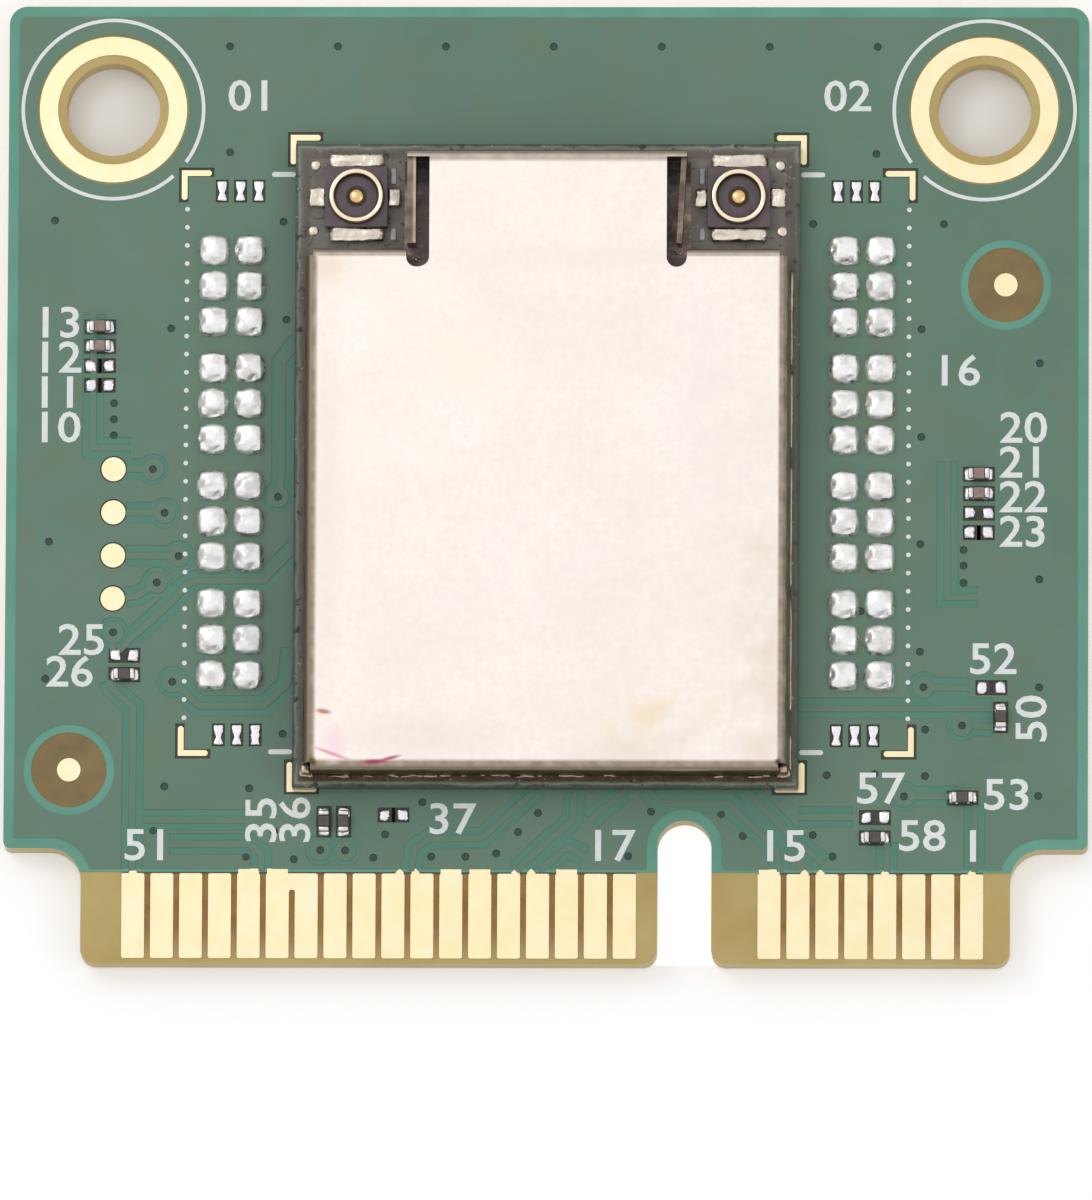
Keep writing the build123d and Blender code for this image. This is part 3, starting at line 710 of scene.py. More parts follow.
for x, y in ringed_vias:
    disc(lacquer, x, y, TRACK_END, GROOVE_FLOOR - SINK, LACQUER_TOP - RING_DROP)
dimples = bmesh.new()
for x, y in vias + ringed_vias:
    disc(dimples, x, y, VIA_RADIUS * 0.8, VIA_FLOOR, above, DARK, 14, VIA_RADIUS * 1.2)
lacquer = cut(lacquer, dimples)
for number, path in enumerate(tracks):
    track_top = LACQUER_TOP - TRACK_DROP - LEVEL_STEP * number / 4
    ribbon(lacquer, path, TRACK_WIDTH, GROOVE_FLOOR - SINK, track_top)
add_piece("lacquer_with_tracks", lacquer, LACQUERS, ["solder_mask_top"])

# %% [markdown]
# White ink is printed on the lacquer: dots that mark the outline of a larger module, a ring round
# each mounting hole, and small numbers beside the parts. The numbers here are plain place numbers.
# A text is made a mesh first and only then moved to its place.

# %% Printed marks
INK_LOW, INK_HIGH = LACQUER_TOP - 0.002, LACQUER_TOP + 0.006
DIGIT_HEIGHT = 0.88
DIGIT_STRETCH = 1.12
DIGIT_BOLD = 0.011
PRINTED_RING = 2.51
RING_LINE = 0.1
RING_STEPS = 72
LEFT_GAP, RIGHT_GAP = -42, -138
HALF_GAP = 6
DOTS = 29
DOT_X = 10.02
FIRST_DOT_Y = 7.7
DOT_STEP = 0.509
DOT_RADIUS = 0.067

labels = [
    *[("01", -8.25, 10.85), ("02", 8.3, 10.85), ("16", 11.35, 3.15), ("25", -12.86, -4.42)],
    *[("26", -13.2, -5.31), ("35", -7.82, -9.41, 90), ("36", -6.88, -9.41, 90), ("37", -2.59, -9.41)],
    *[("51", -11.0, -10.15), ("17", 1.81, -10.15), ("15", 6.57, -10.15), ("1", 11.83, -10.15)],
    *[("57", 9.26, -8.54), ("58", 10.42, -9.86), ("53", 12.77, -8.71), ("52", 12.37, -4.92)],
    ("50", 13.48, -6.55, 90),
    *[(f"1{3 - place}", -13.6, 4.47 - 0.98 * place) for place in range(4)],
    *[(f"2{place}", 13.2, 1.55 - 0.97 * place) for place in range(4)],
]


def add_text(mesh, words, x, y, turn=0):
    """Words as a thin plate, with their middle at a place."""
    curve = bpy.data.curves.new("words", "FONT")
    curve.body = words
    curve.align_x = "CENTER"
    curve.align_y = "CENTER"
    curve.resolution_u = 3
    curve.offset = DIGIT_BOLD
    curve.extrude = (INK_HIGH - INK_LOW) / 2
    holder = bpy.data.objects.new("words", curve)
    bpy.context.collection.objects.link(holder)
    shown = holder.evaluated_get(bpy.context.evaluated_depsgraph_get())
    flat = bpy.data.meshes.new_from_object(shown)
    bpy.data.objects.remove(holder)
    heights = [vert.co.y for vert in flat.vertices]
    size = DIGIT_HEIGHT / (max(heights) - min(heights))
    place = Matrix.Translation((x, y, (INK_LOW + INK_HIGH) / 2))
    place @= Matrix.Rotation(math.radians(turn), 4, "Z")
    flat.transform(place @ Matrix.Diagonal((size * DIGIT_STRETCH, size, 1, 1)))
    mesh.from_mesh(flat)
    bpy.data.meshes.remove(flat)


ink = bmesh.new()
for label in labels:
    add_text(ink, *label)
for side in (-1, 1):
    for place in range(DOTS):
        y = FIRST_DOT_Y - DOT_STEP * place
        disc(ink, side * DOT_X, y, DOT_RADIUS, INK_LOW, INK_HIGH, sides=10)
for low, high in solids_of("left_ground_ring_top", "right_ground_ring_top"):
    middle = (low + high) / 2
    gap = RIGHT_GAP if middle.x > 0 else LEFT_GAP
    ends = (gap + HALF_GAP, gap + 360 - HALF_GAP)
    ribbon(ink, arc(middle.x, middle.y, PRINTED_RING, *ends, RING_STEPS), RING_LINE, INK_LOW, INK_HIGH)
for low, high in solids_of("printed_dashes"):
    y, half = (low.y + high.y) / 2, (high.y - low.y) / 2
    soft_line(ink, [(low.x + half, y), (high.x - half, y)], 2 * half, INK_LOW, INK_HIGH)
add_piece("printed_marks", ink, ["white_print"], ["printed_dashes"])

# %% [markdown]
# Bare copper that was tinned in an oven carries solder that drew itself into lumps. Steep sides of
# solder mirror the dark parts round them, which the finish adds as dark flecks on steep, noisy places.
# The large bumps are dull in soft patches as well.

# %% Solder finish


def facing(tree, axis):
    """How far a face looks along an axis, from -1 to 1."""
    normal = new_node(tree, "NewGeometry", {}).outputs["Normal"]
    return new_node(tree, "SeparateXYZ", {"Vector": normal}).outputs[axis]


def flecked(name, paint, fleck, fleck_per_mm, flat_z, steep_z, roughness=0.3, grain=0.03, metallic=1.0):
    """Bright solder with dark flecks on steep sides, a painted reflection of dark things round it."""
    material = finish(name, paint, None, 1.0, roughness, metallic, grain, 5.0)
    tree = material.node_tree
    flecks = cloud(tree, fleck_per_mm, 2.0, 0.5, 0.58)
    base_mix(material, product(tree, flecks, ramp(tree, facing(tree, "Z"), flat_z, steep_z)), fleck)
    return material


bump_look = flecked("pillow_solder", (253, 252, 252), (150, 152, 144), 4.0, 0.9, 0.5, 0.36, 0.025, 0.6)
base_mix(bump_look, cloud(bump_look.node_tree, 2.6, 3.0, 0.46, 0.62), (226, 225, 222))
flecked("pad_solder", (240, 238, 241), (110, 106, 108), 7.0, 0.995, 0.8)
print("solder finishes:", [name for name in finishes if "solder" in name])

# %% [markdown]
# A lump of solder is a cube with many divisions whose points are drawn towards a ball, so that it is
# square at the foot and round above. A noise then wrinkles it, a little different at every place. On
# the large bumps a shallow trench runs along part of the edge, where the solder drew back.

# %% Solder pillows
PILLOW_GROW = 0.06
PILLOW_SHIFT = Vector((-0.02, 0.035, 0))
PILLOW_FOOT = 0.975
PILLOW_TRENCH = 0.13
TRENCH_PLACE = 0.78
TRENCH_WIDTH = 0.13
TRENCH_TURNS = ((178, 20), (-88, 26), (-60, 10))
DRIFT_SHIFTS = (Vector((9.3, -1.5, -8.0)), Vector((0.0, 0.0, 0.0)), Vector((-7.1, 0.1, 5.2)))


def lump_template(cuts):
    """A cube with evenly divided faces, made once for each number of cuts."""
    name = f"lump_template_{cuts}"
    if name not in bpy.data.meshes:
        mesh = bmesh.new()
        bmesh.ops.create_cube(mesh, size=2)
        bmesh.ops.subdivide_edges(mesh, edges=mesh.edges, cuts=cuts, use_grid_fill=True)
        mesh.to_mesh(bpy.data.meshes.new(name))
        mesh.free()
    return bpy.data.meshes[name]


def drift(place):
    """A soft sideways push that changes slowly from place to place."""
    return Vector([noise.noise(place + shift) for shift in DRIFT_SHIFTS])


def pillow(mesh, low, high, roundness, wrinkle, paint=0, cuts=5, trench=0.0):
    """A lump between two corners, square if roundness is 0 and a ball if it is 1."""
    already = len(mesh.verts)
    mesh.from_mesh(lump_template(cuts))
    mesh.verts.ensure_lookup_table()
    middle, half = (low + high) / 2, (high - low) / 2
    for vert in mesh.verts[already:]:
        shape = vert.co.lerp(vert.co.normalized(), roundness)
        ring_place = math.hypot(shape.x, shape.y)
        vert.co = middle + Vector([shape[axis] * half[axis] for axis in range(3)])
        vert.co += drift(vert.co * 3.5) * wrinkle + drift(vert.co * 9.0) * wrinkle * 0.4
        turn = math.degrees(math.atan2(shape.y, shape.x))
        away = [((turn - trench_turn + 180) % 360 - 180) / width for trench_turn, width in TRENCH_TURNS]
        depth = trench * sum(math.exp(-distance * distance) for distance in away)
        depth *= max(0, 0.8 + 1.6 * noise.noise(vert.co * 1.9))
        vert.co.z -= depth * math.exp(-(((ring_place - TRENCH_PLACE) / TRENCH_WIDTH) ** 2))
    paint_round(mesh.verts[already:], paint)


def lump(mesh, centre, reach, roundness, wrinkle, paint=0, cuts=5):
    """A pillow given by its middle and its reach along each axis."""
    centre, reach = Vector(centre), Vector(reach)
    pillow(mesh, centre - reach, centre + reach, roundness, wrinkle, paint, cuts)


for side in ("left", "right"):
    drawing = bmesh.new()
    for low, high in solids_of(f"{side}_solder_bumps"):
        low, high = low + PILLOW_SHIFT, high + PILLOW_SHIFT
        under = Vector((low.x - PILLOW_GROW, low.y - PILLOW_GROW, 2 * PILLOW_FOOT - high.z))
        over = Vector((high.x + PILLOW_GROW, high.y + PILLOW_GROW, high.z))
        pillow(drawing, under, over, 0.62, 0.025, cuts=9, trench=PILLOW_TRENCH)
    bumps = [f"{side}_solder_bumps"]
    add_piece(f"{side}_solder_pillows", drawing, ["pillow_solder"], bumps, smooth=True)

# %% [markdown]
# Every opening in the lacquer shows the bare board round the metal in it. Round the small pads that
# board is dark, and the narrow gap between the lacquer and the metal lies in shade. A thin, nearly
# black sheet under each opening paints both, the dark board and the painted shade, and the lacquer
# covers its edges. Sheets of neighbours overlap, so each top lies a hair lower than the one before.
# Under the two round targets the sheet is brown and as wide as the target.

# %% Ground in the openings
GROUND_LOW, GROUND_HIGH = mask_low.z - 0.02, mask_low.z + 0.004
SHEET_MARGIN = 0.3
SHEET_STEP = 0.00003
COLLAR_MARGIN = 0.1
COLLAR_DROP = 0.005
TARGET_GROUND_RADIUS = 1.06

# Nearly black: the dark bare board and painted shade in the gaps round the metal.
finish("window_ground_and_shade", (50, 56, 45), (68, 66, 50), 3.0, 0.4)
finish("target_ground", (146, 122, 74), (128, 108, 68), 1.5, 0.45)
mark_nodes = ["inner_corner_marks", "outer_corner_marks"]
small_pads = ["corner_solder_pads", "capacitor_terminals", "resistor_terminals", "chip_solder_lands"]
ground = bmesh.new()
windows = solids_of(*small_pads, *mark_nodes, "test_pads", "capacitor_bodies", "resistor_bodies")
for number, (low, high) in enumerate(windows):
    plate(ground, low, high, GROUND_LOW, GROUND_HIGH - number * SHEET_STEP, SHEET_MARGIN)
add_piece("opening_ground_and_shade", ground, ["window_ground_and_shade"])

ground = bmesh.new()
for low, high in solids_of("left_solder_bumps", "right_solder_bumps"):
    middle, width = (low + high) / 2, high.x - low.x + COLLAR_MARGIN
    slab(ground, middle.x, middle.y, width, width, GROUND_LOW, LACQUER_TOP - COLLAR_DROP)
add_piece("bump_collars", ground, ["green_lacquer"])

ground = bmesh.new()
for low, high in solids_of("alignment_dots"):
    middle = (low + high) / 2
    disc(ground, middle.x, middle.y, TARGET_GROUND_RADIUS, GROUND_LOW, GROUND_HIGH, sides=48)
add_piece("target_ground", ground, ["target_ground"])

# %% [markdown]
# The gold corner marks are L shapes with round ends. They are drawn a little slimmer than their
# openings, so that a dark line of bare board and painted shade runs round them, and the test pads are
# left as they are.

# %% Corner marks
MARK_WIDTH = 0.16
MARK_INSET = 0.035

drawing = bmesh.new()
for name in mark_nodes:
    corners = solids_of(name)
    middle = sum(((low + high) / 2 for low, high in corners), Vector()) / len(corners)
    for low, high in corners:
        inset = MARK_INSET + MARK_WIDTH / 2
        near, far = low + Vector((inset, inset, 0)), high - Vector((inset, inset, 0))
        outer_x, inner_x = (near.x, far.x) if low.x < middle.x else (far.x, near.x)
        outer_y, inner_y = (near.y, far.y) if low.y < middle.y else (far.y, near.y)
        path = [(outer_x, inner_y), (outer_x, outer_y), (inner_x, outer_y)]
        soft_line(drawing, path, MARK_WIDTH, mask_low.z, high.z)
add_piece("round_corner_marks", drawing, ["gold_plating"], mark_nodes)

# %% [markdown]
# The tall pads beyond the bump columns hold solder that drew back from the middle, so they look like
# an hourglass. Each is a slab with cuts across it. The cuts are squeezed towards the middle line, and
# the sharp edges are rounded with a bevel. The spare lands on the board are small flat lumps.

# %% Hourglass pads
WAIST = 0.42
WAIST_PLACE = -0.2
WAIST_LENGTH = 0.38
PAD_ROUND = 0.035
LAND_RISE = Vector((0, 0, 0.03))
WAIST_CUTS = 7
SHARP_TURN = 1


def edges_of(verts):
    """The edges that meet some points."""
    return each_once(edge for vert in verts for edge in vert.link_edges)


def sharp_edges(mesh):
    """The edges where two faces meet at a large angle."""
    return [edge for edge in mesh.edges if edge.calc_face_angle(0) > SHARP_TURN]


def soften(mesh, edges, radius, segments=3):
    """Round some edges of a drawing."""
    bmesh.ops.bevel(
        mesh,
        geom=edges,
        offset=radius,
        segments=segments,
        affect="EDGES",
        profile=0.5,
        material=-1,
        clamp_overlap=True,
    )


def hourglass(mesh, low, high):
    """An upright pad with a narrow waist a little below its middle."""
    middle, half = (low + high) / 2, (high - low) / 2
    edges = edges_of(plate(mesh, low, high, low.z, high.z))
    long_edges = [edge for edge in edges if abs(edge.verts[0].co.y - edge.verts[1].co.y) > half.y]
    divided = bmesh.ops.subdivide_edges(mesh, edges=long_edges, cuts=WAIST_CUTS)
    for vert in each_once(item for item in divided["geom"] if isinstance(item, bmesh.types.BMVert)):
        along = (vert.co.y - middle.y) / half.y
        squeeze = 1 - WAIST * math.exp(-(((along - WAIST_PLACE) / WAIST_LENGTH) ** 2))
        vert.co.x = middle.x + (vert.co.x - middle.x) * squeeze


drawing = bmesh.new()
for low, high in solids_of("corner_solder_pads"):
    hourglass(drawing, low, high)
soften(drawing, sharp_edges(drawing), PAD_ROUND)
add_piece("hourglass_pads", drawing, ["pad_solder"], ["corner_solder_pads"], smooth=True)

drawing = bmesh.new()
for low, high in solids_of("chip_solder_lands"):
    pillow(drawing, low - LAND_RISE, high + LAND_RISE, 0.4, 0.03, cuts=3)
add_piece("spare_lands", drawing, ["pad_solder"], ["chip_solder_lands"], smooth=True)

# %% [markdown]
# A chip capacitor is a small ceramic brick that was dipped in metal at both ends, and a chip resistor
# is a dark one with wrapped metal ends. Bricks and ends are boxes with all their edges rounded, and
# the ends have dark flecks on their steep sides, where they mirror the board.

# %% Chip parts
CHIP_ROUND = 0.03
END_ROUND = 0.045

finish("warm_ceramic", (168, 148, 138), (140, 120, 112), 5.0, 0.4)
finish("dark_ceramic", (76, 70, 68), (98, 92, 88), 6.0, 0.4)
flecked("chip_ends", (226, 222, 218), (110, 98, 92), 6.0, 0.99, 0.6)


def rounded_box(mesh, low, high, radius):
    """A box with all its edges rounded."""
    soften(mesh, edges_of(plate(mesh, low, high, low.z, high.z)), radius)


for kind, ceramic in (("capacitor", "warm_ceramic"), ("resistor", "dark_ceramic")):
    drawing = bmesh.new()
    for low, high in solids_of(f"{kind}_bodies"):
        rounded_box(drawing, low, high, CHIP_ROUND)
    add_piece(f"{kind}_bricks", drawing, [ceramic], [f"{kind}_bodies"])
    drawing = bmesh.new()
    for low, high in solids_of(f"{kind}_terminals"):
        rounded_box(drawing, low, high, END_ROUND)
    terminals = [f"{kind}_terminals"]
    add_piece(f"{kind}_ends", drawing, ["chip_ends"], terminals, smooth=True)

# %% [markdown]
# The gold contacts are plated copper, 0.03 mm high, with a soft edge and rounded corners. Some of them
# run a little further up under the lacquer, and a few have the stub of a track at the top. The sixth
# and seventh from the left are one wide contact with a slot. The laminate between the contacts is
# painted dark brown as painted shade of the narrow gaps, paler towards the edge of the card, with a
# dark painted shadow line along the lacquer.

# %% Gold contacts
CONTACT_ROUND = 0.012
CONTACT_GROW = 0.02
CONTACT_SHORT = 0.035
CONTACT_CORNER = 0.06
STUB_RADIUS = 0.12
STUB_DROP = 0.02
STUB_LOW = 0.001
LONG_REACH = 0.09
LONG_UNDER = 0.1
LONG_WIDTH = 0.57
LONG_LOW = 0.0015
UPRIGHT = 0.01
SHADE_FADE_REACH = 0.9
SHADOW_LINE_FROM, SHADOW_LINE_TO = 0.09, 0.03
GAP_DEPTH = 0.02
GAP_RISE = 0.002
stub_places = (-11.4, -4.02, -3.58, -0.82, -0.38, 7.18, 7.62, 9.4, 11.8)
long_contacts = (-8.2, -7.4, -2.6, -1.8, 0.6, 6.2)


def gold_row(name):
    """Rounded copies of a row of contacts."""
    drawing = node_copy(name)
    bmesh.ops.dissolve_limit(drawing, angle_limit=0.02, verts=drawing.verts, edges=drawing.edges)
    drawing.normal_update()
    for vert in drawing.verts:
        outward = sum((face.normal for face in vert.link_faces), Vector())
        vert.co.x += CONTACT_GROW * round(outward.x)
        if outward.y > 0.5:
            vert.co.y -= CONTACT_SHORT
    sharp = sharp_edges(drawing)
    upright = [edge for edge in sharp if abs(edge.verts[0].co.z - edge.verts[1].co.z) > UPRIGHT]
    soften(drawing, upright, CONTACT_CORNER)
    soften(drawing, sharp_edges(drawing), CONTACT_ROUND, 2)
    add_piece(f"{name}_plated", drawing, ["gold_plating"], [name])


for level in ("top", "bottom"):
    for side in ("left", "right"):
        gold_row(f"{level}_contacts_{side}")
drawing = bmesh.new()
contact_low, contact_high = box_of("top_contacts_left")
for x in stub_places:
    stub_top = contact_high.z - STUB_LOW
    disc(drawing, x, contact_high.y - STUB_DROP, STUB_RADIUS, mask_low.z, stub_top, sides=4)
for x in long_contacts:
    y, length = contact_high.y + (LONG_REACH - LONG_UNDER) / 2, LONG_REACH + LONG_UNDER
    slab(drawing, x, y, LONG_WIDTH, length, mask_low.z, contact_high.z - LONG_LOW)
add_piece("contact_stubs", drawing, ["gold_plating"])

# Painted shade in the gaps: darker brown, fading towards the card's edge, darkest along the lacquer.
shaded_gap = finish("shaded_gap_laminate", (168, 126, 66), (144, 102, 44), 2.0, 0.45)
gap_y = axis_socket(shaded_gap.node_tree, "Y")
shade_fade = ramp(shaded_gap.node_tree, gap_y, contact_low.y + SHADE_FADE_REACH, contact_low.y)
base_mix(shaded_gap, shade_fade, (190, 164, 110))
lacquer_shadow_line = ramp(shaded_gap.node_tree, gap_y, contact_high.y - SHADOW_LINE_FROM, contact_high.y - SHADOW_LINE_TO)
base_mix(shaded_gap, lacquer_shadow_line, (88, 80, 54))
drawing = bmesh.new()
for side in ("left", "right"):
    low, high = box_of(f"top_contacts_{side}")
    plate(drawing, low, high, low.z - GAP_DEPTH, low.z + GAP_RISE)
add_piece("contact_gaps", drawing, ["shaded_gap_laminate"])

# %% [markdown]
# The ground rings round the mounting holes have the same plating. A ring is a section spun once about
# the middle of its hole, with the two ends of the spin merged. Its faces are then turned outwards.

# %% Ground rings
GROUND_STEPS = 96
RING_WIDTH = 0.53
RING_ROUND = {"top": 0.012, "bottom": 0.001}


def spun(mesh, corners, x, y, steps, paint=0, closed=True):
    """A section of reaches and heights, spun once round an upright axis."""
    before = set(mesh.faces)
    verts = [mesh.verts.new((x + reach, y, level)) for reach, level in corners]
    first = 0 if closed else 1
    edges = [mesh.edges.new((verts[place - 1], verts[place])) for place in range(first, len(verts))]
    bmesh.ops.spin(
        mesh,
        geom=verts + edges,
        cent=(x, y, 0),
        axis=(0, 0, 1),
        angle=2 * math.pi,
        steps=steps,
        use_merge=True,
    )
    if not closed:
        bmesh.ops.remove_doubles(mesh, verts=mesh.verts, dist=WELD_REACH)
    faces = [face for face in mesh.faces if face not in before]
    bmesh.ops.recalc_face_normals(mesh, faces=faces)
    for face in faces:
        face.material_index = paint


def spun_ring(mesh, x, y, inner, outer, low, high, rounding, steps, paint=0):
    """A ring with soft upper edges."""
    corners = [(outer, low), (outer, high - rounding), (outer - rounding, high)]
    corners += [(inner + rounding, high), (inner, high - rounding), (inner, low)]
    spun(mesh, corners, x, y, steps, paint)


for side in ("left", "right"):
    for level, rounding in RING_ROUND.items():
        name = f"{side}_ground_ring_{level}"
        low, high = box_of(name)
        middle, outer = (low + high) / 2, (high.x - low.x) / 2
        drawing = bmesh.new()
        ring = (outer - RING_WIDTH, outer, low.z, high.z, rounding, GROUND_STEPS)
        spun_ring(drawing, middle.x, middle.y, *ring)
        add_piece(f"{name}_plated", drawing, ["gold_plating"], [name])

# %% [markdown]
# An antenna connector is a dark square moulding with a gold ring standing in it and a pin in the
# middle. Its feet lie flat on the module and are covered with solder. The ring is spun, its inner wall
# is as dark as the shadow in it, the pin is a spun dome, and each foot is a flat wrinkled lump of
# solder. Beside the inner foot two dull strips of tin show.

# %% Finishes of the connectors
flecked("foot_solder", (222, 211, 197), (112, 102, 90), 3.5, 1.0, 0.85, 0.34, 0.03)
flecked("streak_solder", (198, 181, 158), (104, 88, 66), 3.5, 1.0, 0.8, 0.4, 0.03, 0.85)
finish("dull_tin", (178, 180, 182), (152, 154, 156), 3.0, 0.4, 0.4)
finish("groove_shadow", (58, 42, 36), roughness=0.5)
finish("pale_gold", (254, 238, 212), (250, 230, 200), 4.0, 0.25, 1.0)
finish("pin_gold", (244, 212, 158), (232, 192, 130), 6.0, 0.28, 1.0)
print("finishes:", len(finishes))

# %% Antenna connectors
MOULDING_ROUND = 0.03
WELL_RADIUS = 0.63
WELL_MIDDLE = 0.3
SHELL_INNER, SHELL_OUTER = 0.62, 0.75
SHELL_ROUND = 0.022
SHELL_STEPS = 64
SHADOW_RINGS = ((0, 0.745, 0.79, 0.004), (-0.015, 0.56, 0.65, 0.006))
SHADOW_DEPTH = 0.03
WELL_RISE, MIDDLE_RISE = 0.002, 0.004
PIN_RADIUS = 0.23
PIN_STEPS = 32
ROOT_DEPTH = 0.05
FOOT_RISE, FOOT_REACH = 0.05, 0.15
long_feet = [(0, 1.03, 0.79, 0.19), (0, -1.03, 0.79, 0.19)]
short_feet = [(1.04, 0, 0.17, 0.26), (-1.09, 0, 0.22, 0.27)]
TIN_X = 1.02
tin_strips = [(-1.2, 0.38), (0.38, 0.47)]


def spun_pin(mesh, x, y, radius, low, high):
    """A round pin with a domed top."""
    dome_low, rise = high - radius * 0.5, radius * 0.5
    corners = [(0, low), (radius, low), (radius, dome_low)]
    corners += [(radius * math.cos(turn), dome_low + rise * math.sin(turn)) for turn in (0.4, 0.8, 1.2)]
    spun(mesh, [*corners, (0, high)], x, y, PIN_STEPS, closed=False)


for side, inward in (("left", 1), ("right", -1)):
    base_low, base_high = box_of(f"{side}_connector_base")
    shell_top = box_of(f"{side}_connector_shell")[1].z
    pin_top = box_of(f"{side}_connector_contact")[1].z
    middle = (base_low + base_high) / 2
    well, root = base_high.z, base_high.z - ROOT_DEPTH
    drawing = bmesh.new()
    rounded_box(drawing, base_low, base_high, MOULDING_ROUND)
    disc(drawing, middle.x, middle.y, WELL_RADIUS, well - SHADOW_DEPTH, well + WELL_RISE, sides=48)
    disc(drawing, middle.x, middle.y, WELL_MIDDLE, well - SHADOW_DEPTH, well + MIDDLE_RISE, 1, 32)
    paints = ["connector_moulding", "groove_shadow"]
    base = [f"{side}_connector_base"]
    add_piece(f"{side}_antenna_moulding", drawing, paints, base)

    drawing = bmesh.new()
    ring = (SHELL_INNER, SHELL_OUTER, root, shell_top, SHELL_ROUND, SHELL_STEPS)
    spun_ring(drawing, middle.x, middle.y, *ring)
    for face in drawing.faces:
        place = face.calc_center_median()
        if (place - middle).xy.length < SHELL_INNER + 0.002 and place.z < shell_top - 0.05:
            face.material_index = 1
    for shift, inner, outer, rise in SHADOW_RINGS:
        ring = (inner, outer, root, well + rise, 0.002, SHELL_STEPS, 1)
        spun_ring(drawing, middle.x, middle.y + shift, *ring)
    paints, shell = ["pale_gold", "groove_shadow"], [f"{side}_connector_shell"]
    add_piece(f"{side}_antenna_ring", drawing, paints, shell, smooth=True)

    drawing = bmesh.new()
    spun_pin(drawing, middle.x, middle.y, PIN_RADIUS, root, pin_top)
    pin = [f"{side}_connector_contact"]
    add_piece(f"{side}_antenna_pin", drawing, ["pin_gold"], pin, smooth=True)

    drawing = bmesh.new()
    for x, y, half_x, half_y in long_feet + short_feet:
        centre = (middle.x + inward * x, middle.y + y, MODULE_TOP + FOOT_RISE)
        lump(drawing, centre, (half_x, half_y, FOOT_REACH), 0.22, 0.05, cuts=7)
    for start, length in tin_strips:
        centre = (middle.x + inward * TIN_X, middle.y + start + length / 2, MODULE_TOP)
        lump(drawing, centre, (0.08, length / 2, 0.03), 0.2, 0.01, 1)
    add_piece(f"{side}_antenna_feet", drawing, ["foot_solder", "dull_tin"], smooth=True)

# %% [markdown]
# The shield can is one folded sheet of tinned steel, so its bends are round and its walls stand a
# little open. Its finish is built up in layers over a pale metal: faint threads and specks of the
# tinning, warm patches where heat yellowed the roof, painted shade along each bend, in the two front
# corners and towards the right edge of the roof, smeared ink near the front left corner, and walls
# painted brown as painted shade, darker towards the foot. The layers for walls read the way in which
# a face is turned, so that the left walls are painted darker and the right walls paler.

# %% Finish of the can
steel = finish("stained_and_shaded_steel", (254, 246, 239), (249, 237, 229), 0.35, 0.36, 1.0, 0.004, 5.0)
tree = steel.node_tree
weave(steel, (242, 233, 226), 0.16)
base_mix(steel, product(tree, cloud(tree, 5.0, 5.0, 0.42, 0.6), 0.42), (240, 231, 225))

# Each row has a place, a length, a width, a turn, a colour, a strength and clouds to the millimetre.
roof_stains_and_shade = [
    (3.1, -6.8, 4.2, 1.6, 10, (244, 226, 196), 0.8, 1.2),
    (4.4, 2.0, 3.0, 9.0, 5, (247, 232, 228), 0.7, 0.8),
    (-2.5, 3.5, 5.0, 3.0, -20, (255, 240, 226), 0.7, 0.8),
    (-1.0, -3.0, 7.0, 3.5, 30, (250, 236, 232), 0.6, 0.9),
    # This row is painted shade, darker towards the right edge of the roof.
    (6.0, -5.0, 1.9, 9.0, 0, (232, 216, 200), 0.8, 0.7),
    (3.5, -7.6, 7.0, 1.2, 0, (236, 224, 212), 0.7, 0.9),
    (-6.1, -0.5, 1.3, 15.0, 0, (240, 227, 219), 0.6, 0),
    (-3.6, -7.3, 6.4, 1.6, 0, (238, 226, 218), 0.5, 0),
    (-6.1, 5.9, 1.7, 1.5, 20, (236, 220, 202), 0.7, 0),
    (0.5, 6.1, 13.0, 0.9, 0, (244, 231, 223), 0.5, 0),
]
corner_stains_and_shade = [
    # The first two rows are painted shade in the two front corners, where the walls meet.
    (-6.39, -8.0, 0.3, 0.38, 30, (84, 72, 40), 0.9, 0),
    (6.46, -7.98, 0.26, 0.22, 20, (72, 64, 44), 0.9, 0),
    (-6.1, -6.6, 0.55, 0.19, -8, (186, 122, 112), 0.9, 0),
    (-5.8, -7.5, 0.8, 1.3, 0, (249, 222, 226), 0.8, 0),
    (-5.85, -7.78, 1.5, 0.14, -20, (226, 160, 176), 0.9, 0),
    (-4.7, -8.0, 0.9, 0.18, 2, (168, 52, 94), 0.9, 0),
    (-4.25, -7.9, 0.8, 0.14, 14, (188, 74, 116), 0.9, 0),
]
for row in roof_stains_and_shade:
    stain(steel, *row)
x_socket, y_socket, z_socket = [axis_socket(tree, axis) for axis in "XYZ"]
# Painted shade along the bends of the roof and of its step.
bend_shade_bands = [
    ramp(tree, x_socket, -6.3, -6.4),
    ramp(tree, x_socket, 6.41, 6.48),
    ramp(tree, y_socket, -7.9, -8.0),
    product(tree, ramp(tree, y_socket, 8.76, 8.86), 0.75),
    product(tree, inside_box(tree, -5.2, 6.25, 1.4, 0.1, 0.04), 0.75),
    product(tree, inside_box(tree, 5.2, 6.25, 1.4, 0.1, 0.04), 0.75),
]
brown_cloud = cloud(tree, 2.6, 4.0, 0.35, 0.65)
bend_shade_tone = mix_colours(tree, brown_cloud, (150, 136, 120), (178, 164, 148))
base_mix(steel, combine(tree, "MAXIMUM", *bend_shade_bands), bend_shade_tone)
# Painted shade on the left side, where the roof bends down into the wall.
base_mix(steel, ramp(tree, x_socket, -6.42, -6.52), (122, 109, 93))
for row in corner_stains_and_shade:
    stain(steel, *row)

